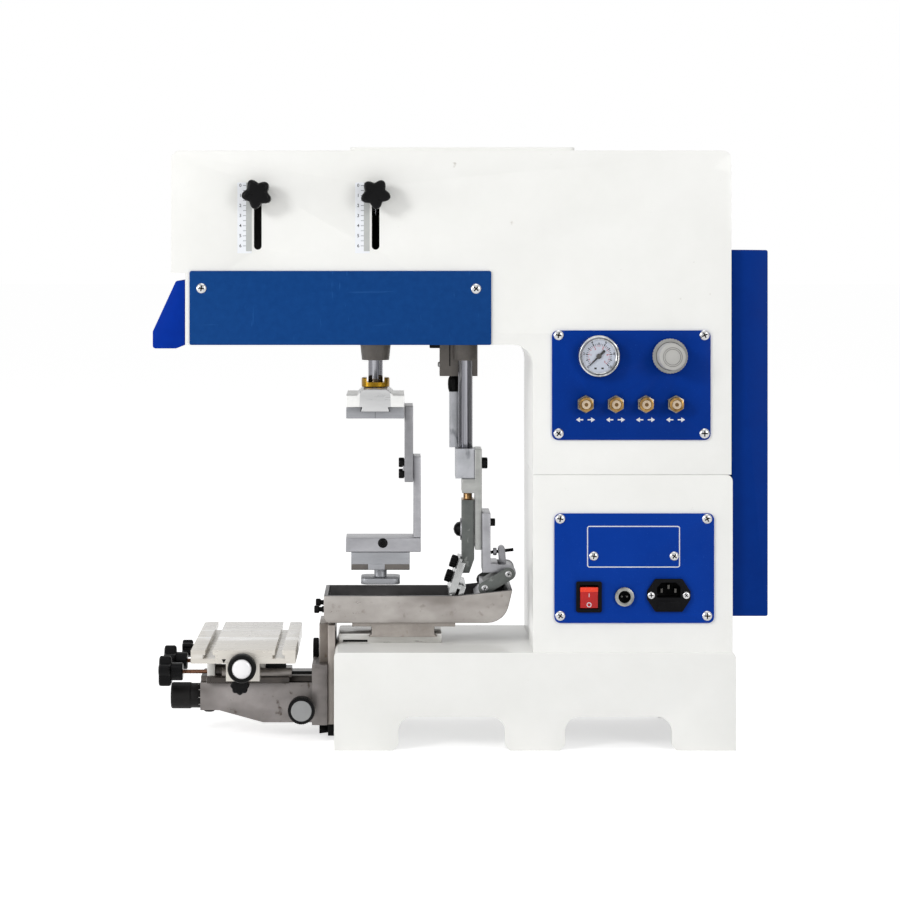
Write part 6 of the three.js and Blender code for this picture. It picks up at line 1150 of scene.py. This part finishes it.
standing_for(
    "pressure_gauge", together([gauge_case], [gauge_dial], dial_second, dial_print),
    [bezel_chrome, dial_white, dial_red, printed_black],
)
needle_blade = plate_of(
    ((13.4, 0.3), (13.4, -0.3), (2, -0.9), (-7.6, -1.3), (-8.2, 0), (-7.6, 1.3), (2, 0.9)),
    NEEDLE_FRONT + 0.6, NEEDLE_FRONT + 1.1,
)
moved(needle_blade, (GAUGE[0], 0, GAUGE[2]), -FIRST_MARK)
needle_hub = turned(
    [[0, NEEDLE_FRONT], [1.8, NEEDLE_FRONT], [2.6, NEEDLE_FRONT + 0.5], [2.6, -98.3], [0, -98.3]],
    "Y", GAUGE, 32,
)
standing_for("gauge_needle", together([needle_blade], [needle_hub]), [printed_black, hub_grey])

# Pressure regulator: a moulded body behind the panel, and in front a pale grey knob that pulls out to
# turn, with a ribbed flange and a plain barrel. A black ring at the barrel's foot is a painted shadow,
# and two dark rings on its end are painted shade in its grooves.
regulator_grey = grained(
    "regulator_grey", (188, 187, 183), (172, 171, 168), 50, (0.36, 0.48), 0.03, shine=0.2,
)
regulator_shade = grained(
    "regulator_shade", (168, 168, 165), (150, 150, 148), 50, (0.4, 0.5), 0.03, shine=0.15,
)
REGULATOR = (133.7, 0, 391.9)
dressed("regulator_body", regulator_shade, 0.5)
regulator_work = together(
    [
        turned(
            [[13.7, -98], [13.3, -110], [13.1, -117.9], [12.5, -118.9], [11.4, -119.2], [0, -119.2]],
            "Y", REGULATOR,
        ),
    ],
    [lobed(36, 17.5, 17, [(0.96, -92.3), (1, -93.2), (1, -97.4), (0.96, -98.4)], "Y", REGULATOR)],
    # Painted shade: two dark rings in the grooves on the barrel's end, and a black ring as the shadow at
    # its foot.
    [hoop(ring, ring + 0.4, -119.3, -119.1, "Y", REGULATOR) for ring in (7.5, 9.1)],
    [hoop(13, 14.2, -98.5, -98.3, "Y", REGULATOR)],
)
standing_for(
    "regulator_knob", regulator_work, [regulator_grey, regulator_shade, hub_grey, printed_black],
)

# Throttles: four gold-coloured brass barrels in one block behind the panel, each held by a hexagon nut
# and set by a cream screw. Plain arrows on the panel show which way opens them.
valve_brass = grained("valve_brass", (184, 146, 86), (70, 46, 20), 160, (0.2, 0.32), 0.06, metal=0.85)
nut_steel = grained("nut_steel", (158, 152, 142), (20, 17, 14), 240, (0.2, 0.3), 0.05, metal=0.85)
cream = grained("cream", (214, 196, 172), (188, 168, 142), 60, (0.3, 0.42), 0.03, shine=0.2)
cream_shade = grained("cream_shade", (126, 98, 62), (98, 72, 42), 60, (0.4, 0.5), 0, shine=0.1)
white_print = grained("white_print", (226, 228, 232), (206, 209, 215), 160, (0.45, 0.55), 0)
THROTTLE_Z = 344.3
THROTTLE_ACROSS = (50.0, 79.8, 109.6, 139.4)
NUT_FRONT = -96.32
ARROW_Z = 328.6
throttle_work = solid_of("throttle_block")
finish_where(throttle_work, 1, lambda middle: middle.y < COVER_FACE - 0.2)
finish_where(throttle_work, 2, lambda middle: middle.y < NUT_FRONT)
standing_for("throttle_block", rounded(throttle_work, 0.3), [light_alloy, nut_steel, valve_brass])
for number, across in enumerate(THROTTLE_ACROSS):
    centre = (across, 0, THROTTLE_Z)
    barrel = turned(
        [[0, -96.3], [4.2, -96.3], [4.2, -104.4], [4.4, -104.5], [4.4, -105.1], [4.1, -105.3],
         [3.7, -105.2], [3.4, -104.8], [1.9, -104.8], [1.9, -104.9]],
        "Y", centre, 48,
    )
    well = turned([[1.9, -104.9], [0, -104.9]], "Y", centre, 24)
    standing_for(f"throttle_screw_{number + 1}", together([barrel], [well]), [cream, cream_shade])
for number, across in enumerate(THROTTLE_ACROSS):
    for arrow, way in ((2 * number + 1, -1), (2 * number + 2, 1)):
        tip = across + way * 9.4
        neck = across + way * 5.6
        tail = across + way * 2.2
        arrow_work = plate_of(
            ((tip, ARROW_Z), (neck, ARROW_Z + 2.4), (neck, ARROW_Z + 0.6), (tail, ARROW_Z + 0.6),
             (tail, ARROW_Z - 0.6), (neck, ARROW_Z - 0.6), (neck, ARROW_Z - 2.4)),
            COVER_FACE - 0.08, COVER_FACE + 0.06,
        )
        made(f"throttle_arrow_{arrow}", arrow_work, white_print)

# Power panel: a second blue plate lower on the column, on six screws. A printed line with rounded
# corners frames an empty field on it.
dressed("power_panel", power_blue, 0.4)
panel_screws("power_panel_screw", (25.0, 170.8), (230.3, 134.1), 4.8)
panel_screws("power_panel_middle_screw", (58.3, 138.1), (193.3,), 4.5)
field = slab((51.6, COVER_FACE - 0.08, 182), (143.8, COVER_FACE + 0.06, 223.3))
bmesh.ops.bevel(
    field, geom=[edge for edge in field.edges if abs(edge.verts[0].co.y - edge.verts[1].co.y) > 0.01],
    offset=2.4, offset_type="OFFSET", segments=4, profile=0.5, affect="EDGES", material=-1,
)
ends = [part for part in field.faces if abs(part.normal.y) > 0.9]
bmesh.ops.inset_region(field, faces=[part for part in ends if part.normal.y < 0], thickness=1)
bmesh.ops.inset_region(field, faces=[part for part in ends if part.normal.y > 0], thickness=1)
inner = [part for part in field.faces if abs(part.normal.y) > 0.9 and len(part.verts) > 4]
bmesh.ops.bridge_loops(field, edges=[edge for part in inner for edge in part.edges])
bmesh.ops.delete(field, geom=inner, context="FACES_ONLY")
bmesh.ops.recalc_face_normals(field, faces=field.faces)
made("power_panel_frame", field, white_print)

# Mains switch: a red rocker in a black moulded housing that snaps into the panel. Its upper end, where
# it tips out, carries a painted highlight, and it carries the usual printed signs for on and off.
red_plastic = grained("red_plastic", (196, 26, 24), (172, 18, 18), 60, (0.2, 0.3), 0, shine=0.3)
red_painted_highlight = grained("red_painted_highlight", (252, 72, 42), (236, 54, 32), 60, (0.2, 0.3), 0, shine=0.3)
moulded_black = grained(
    "moulded_black", (17, 17, 19), (11, 11, 13), 120, (0.36, 0.48), 0.05, shine=0.06,
)
ROCKER_X = 53.4
ROCKER_LIT = 158.4
ROCKER_TIP = 16.6
dressed("switch_housing", moulded_black, 0.5)
rocker_work = split_at(solid_of("switch_rocker"), ROCKER_LIT)
# Painted highlight on the rocker's upper end above this level.
finish_where(rocker_work, 1, lambda middle: middle.z > ROCKER_LIT)
standing_for("switch_rocker", rounded(rocker_work, 0.5), [red_plastic, red_painted_highlight])
rocker_on = slab((-0.3, -0.12, -1.9), (0.3, 0.1, 1.9))
moved(rocker_on, (ROCKER_X, -95.14, 154.9), ROCKER_TIP, "X")
rocker_off = hoop(1.7, 2.4, -0.3, 0.1, "Y", (ROCKER_X, -94.56, 145.4), 28)
made("rocker_signs", together([rocker_on, rocker_off]), white_print, "rocker")

# Foot switch socket: a round plated steel connector, held by its flange in the panel. Two pins stand
# in a black insulator inside it.
SOCKET = (88.6, 153.2)
socket_steel = grained(
    "socket_steel", (176, 176, 172), (78, 78, 76), 160, (0.2, 0.32), 0.05, metal=0.85,
)
black_well_and_shade = grained("black_well_and_shade", (12, 12, 13), (7, 7, 8), 60, (0.5, 0.6), 0, shine=0.05)
pin_bright = grained("pin_bright", (84, 82, 78), (60, 58, 56), 90, (0.2, 0.3), 0, metal=0.5)


def in_the_socket(middle):
    """Whether a face belongs to the insulator inside the socket."""
    return -95.2 < middle.y < -86.2 and math.hypot(middle.x - SOCKET[0], middle.z - SOCKET[1]) < 6.4


def on_a_pin(middle):
    """Whether a face belongs to one of the socket's pins."""
    off_a_pin = math.hypot(abs(middle.x - SOCKET[0]) - 2.6, middle.z - SOCKET[1])
    return in_the_socket(middle) and off_a_pin < 1.1 and middle.y < -87


socket_work = finish_where(solid_of("pedal_socket"), 1, in_the_socket)
finish_where(socket_work, 2, on_a_pin)
standing_for("pedal_socket", rounded(socket_work, 0.3), [socket_steel, black_well_and_shade, pin_bright])

# Mains inlet: a black moulded inlet with three pins in its well and a fuse drawer under them. The pins'
# ends are bright, and their sides take the well's black as painted shade.
# Two pan-head screws hold its flange to the panel.
INLET = (132.4, 154.7)
INLET_PIN_END = -92.3
INLET_FLANGE = -95.3


def in_the_inlet(middle):
    """Whether a face belongs to the inlet's well."""
    return -95.2 < middle.y < -79.2 and abs(middle.x - INLET[0]) < 11.8 and middle.z > INLET[1] - 2.4


def on_an_inlet_pin(middle):
    """Whether a face is the bright end of one of the inlet's pins."""
    at_the_end = abs(middle.y - INLET_PIN_END) < 0.05
    return at_the_end and abs(middle.x - INLET[0]) < 8 and 157 < middle.z < 165


# The pins' sides inside the well share its black as painted shade.
inlet_work = finish_where(solid_of("mains_inlet"), 1, in_the_inlet)
finish_where(inlet_work, 2, on_an_inlet_pin)
standing_for("mains_inlet", rounded(inlet_work, 0.4), [moulded_black, black_well_and_shade, pin_bright])
for number, across in enumerate((115, 149.8)):
    seat = (across, INLET_FLANGE, 154.8)
    cross_screw(f"inlet_screw_{number + 1}", seat, 3.4, 1.2, screw_chrome, turn=40 * number)
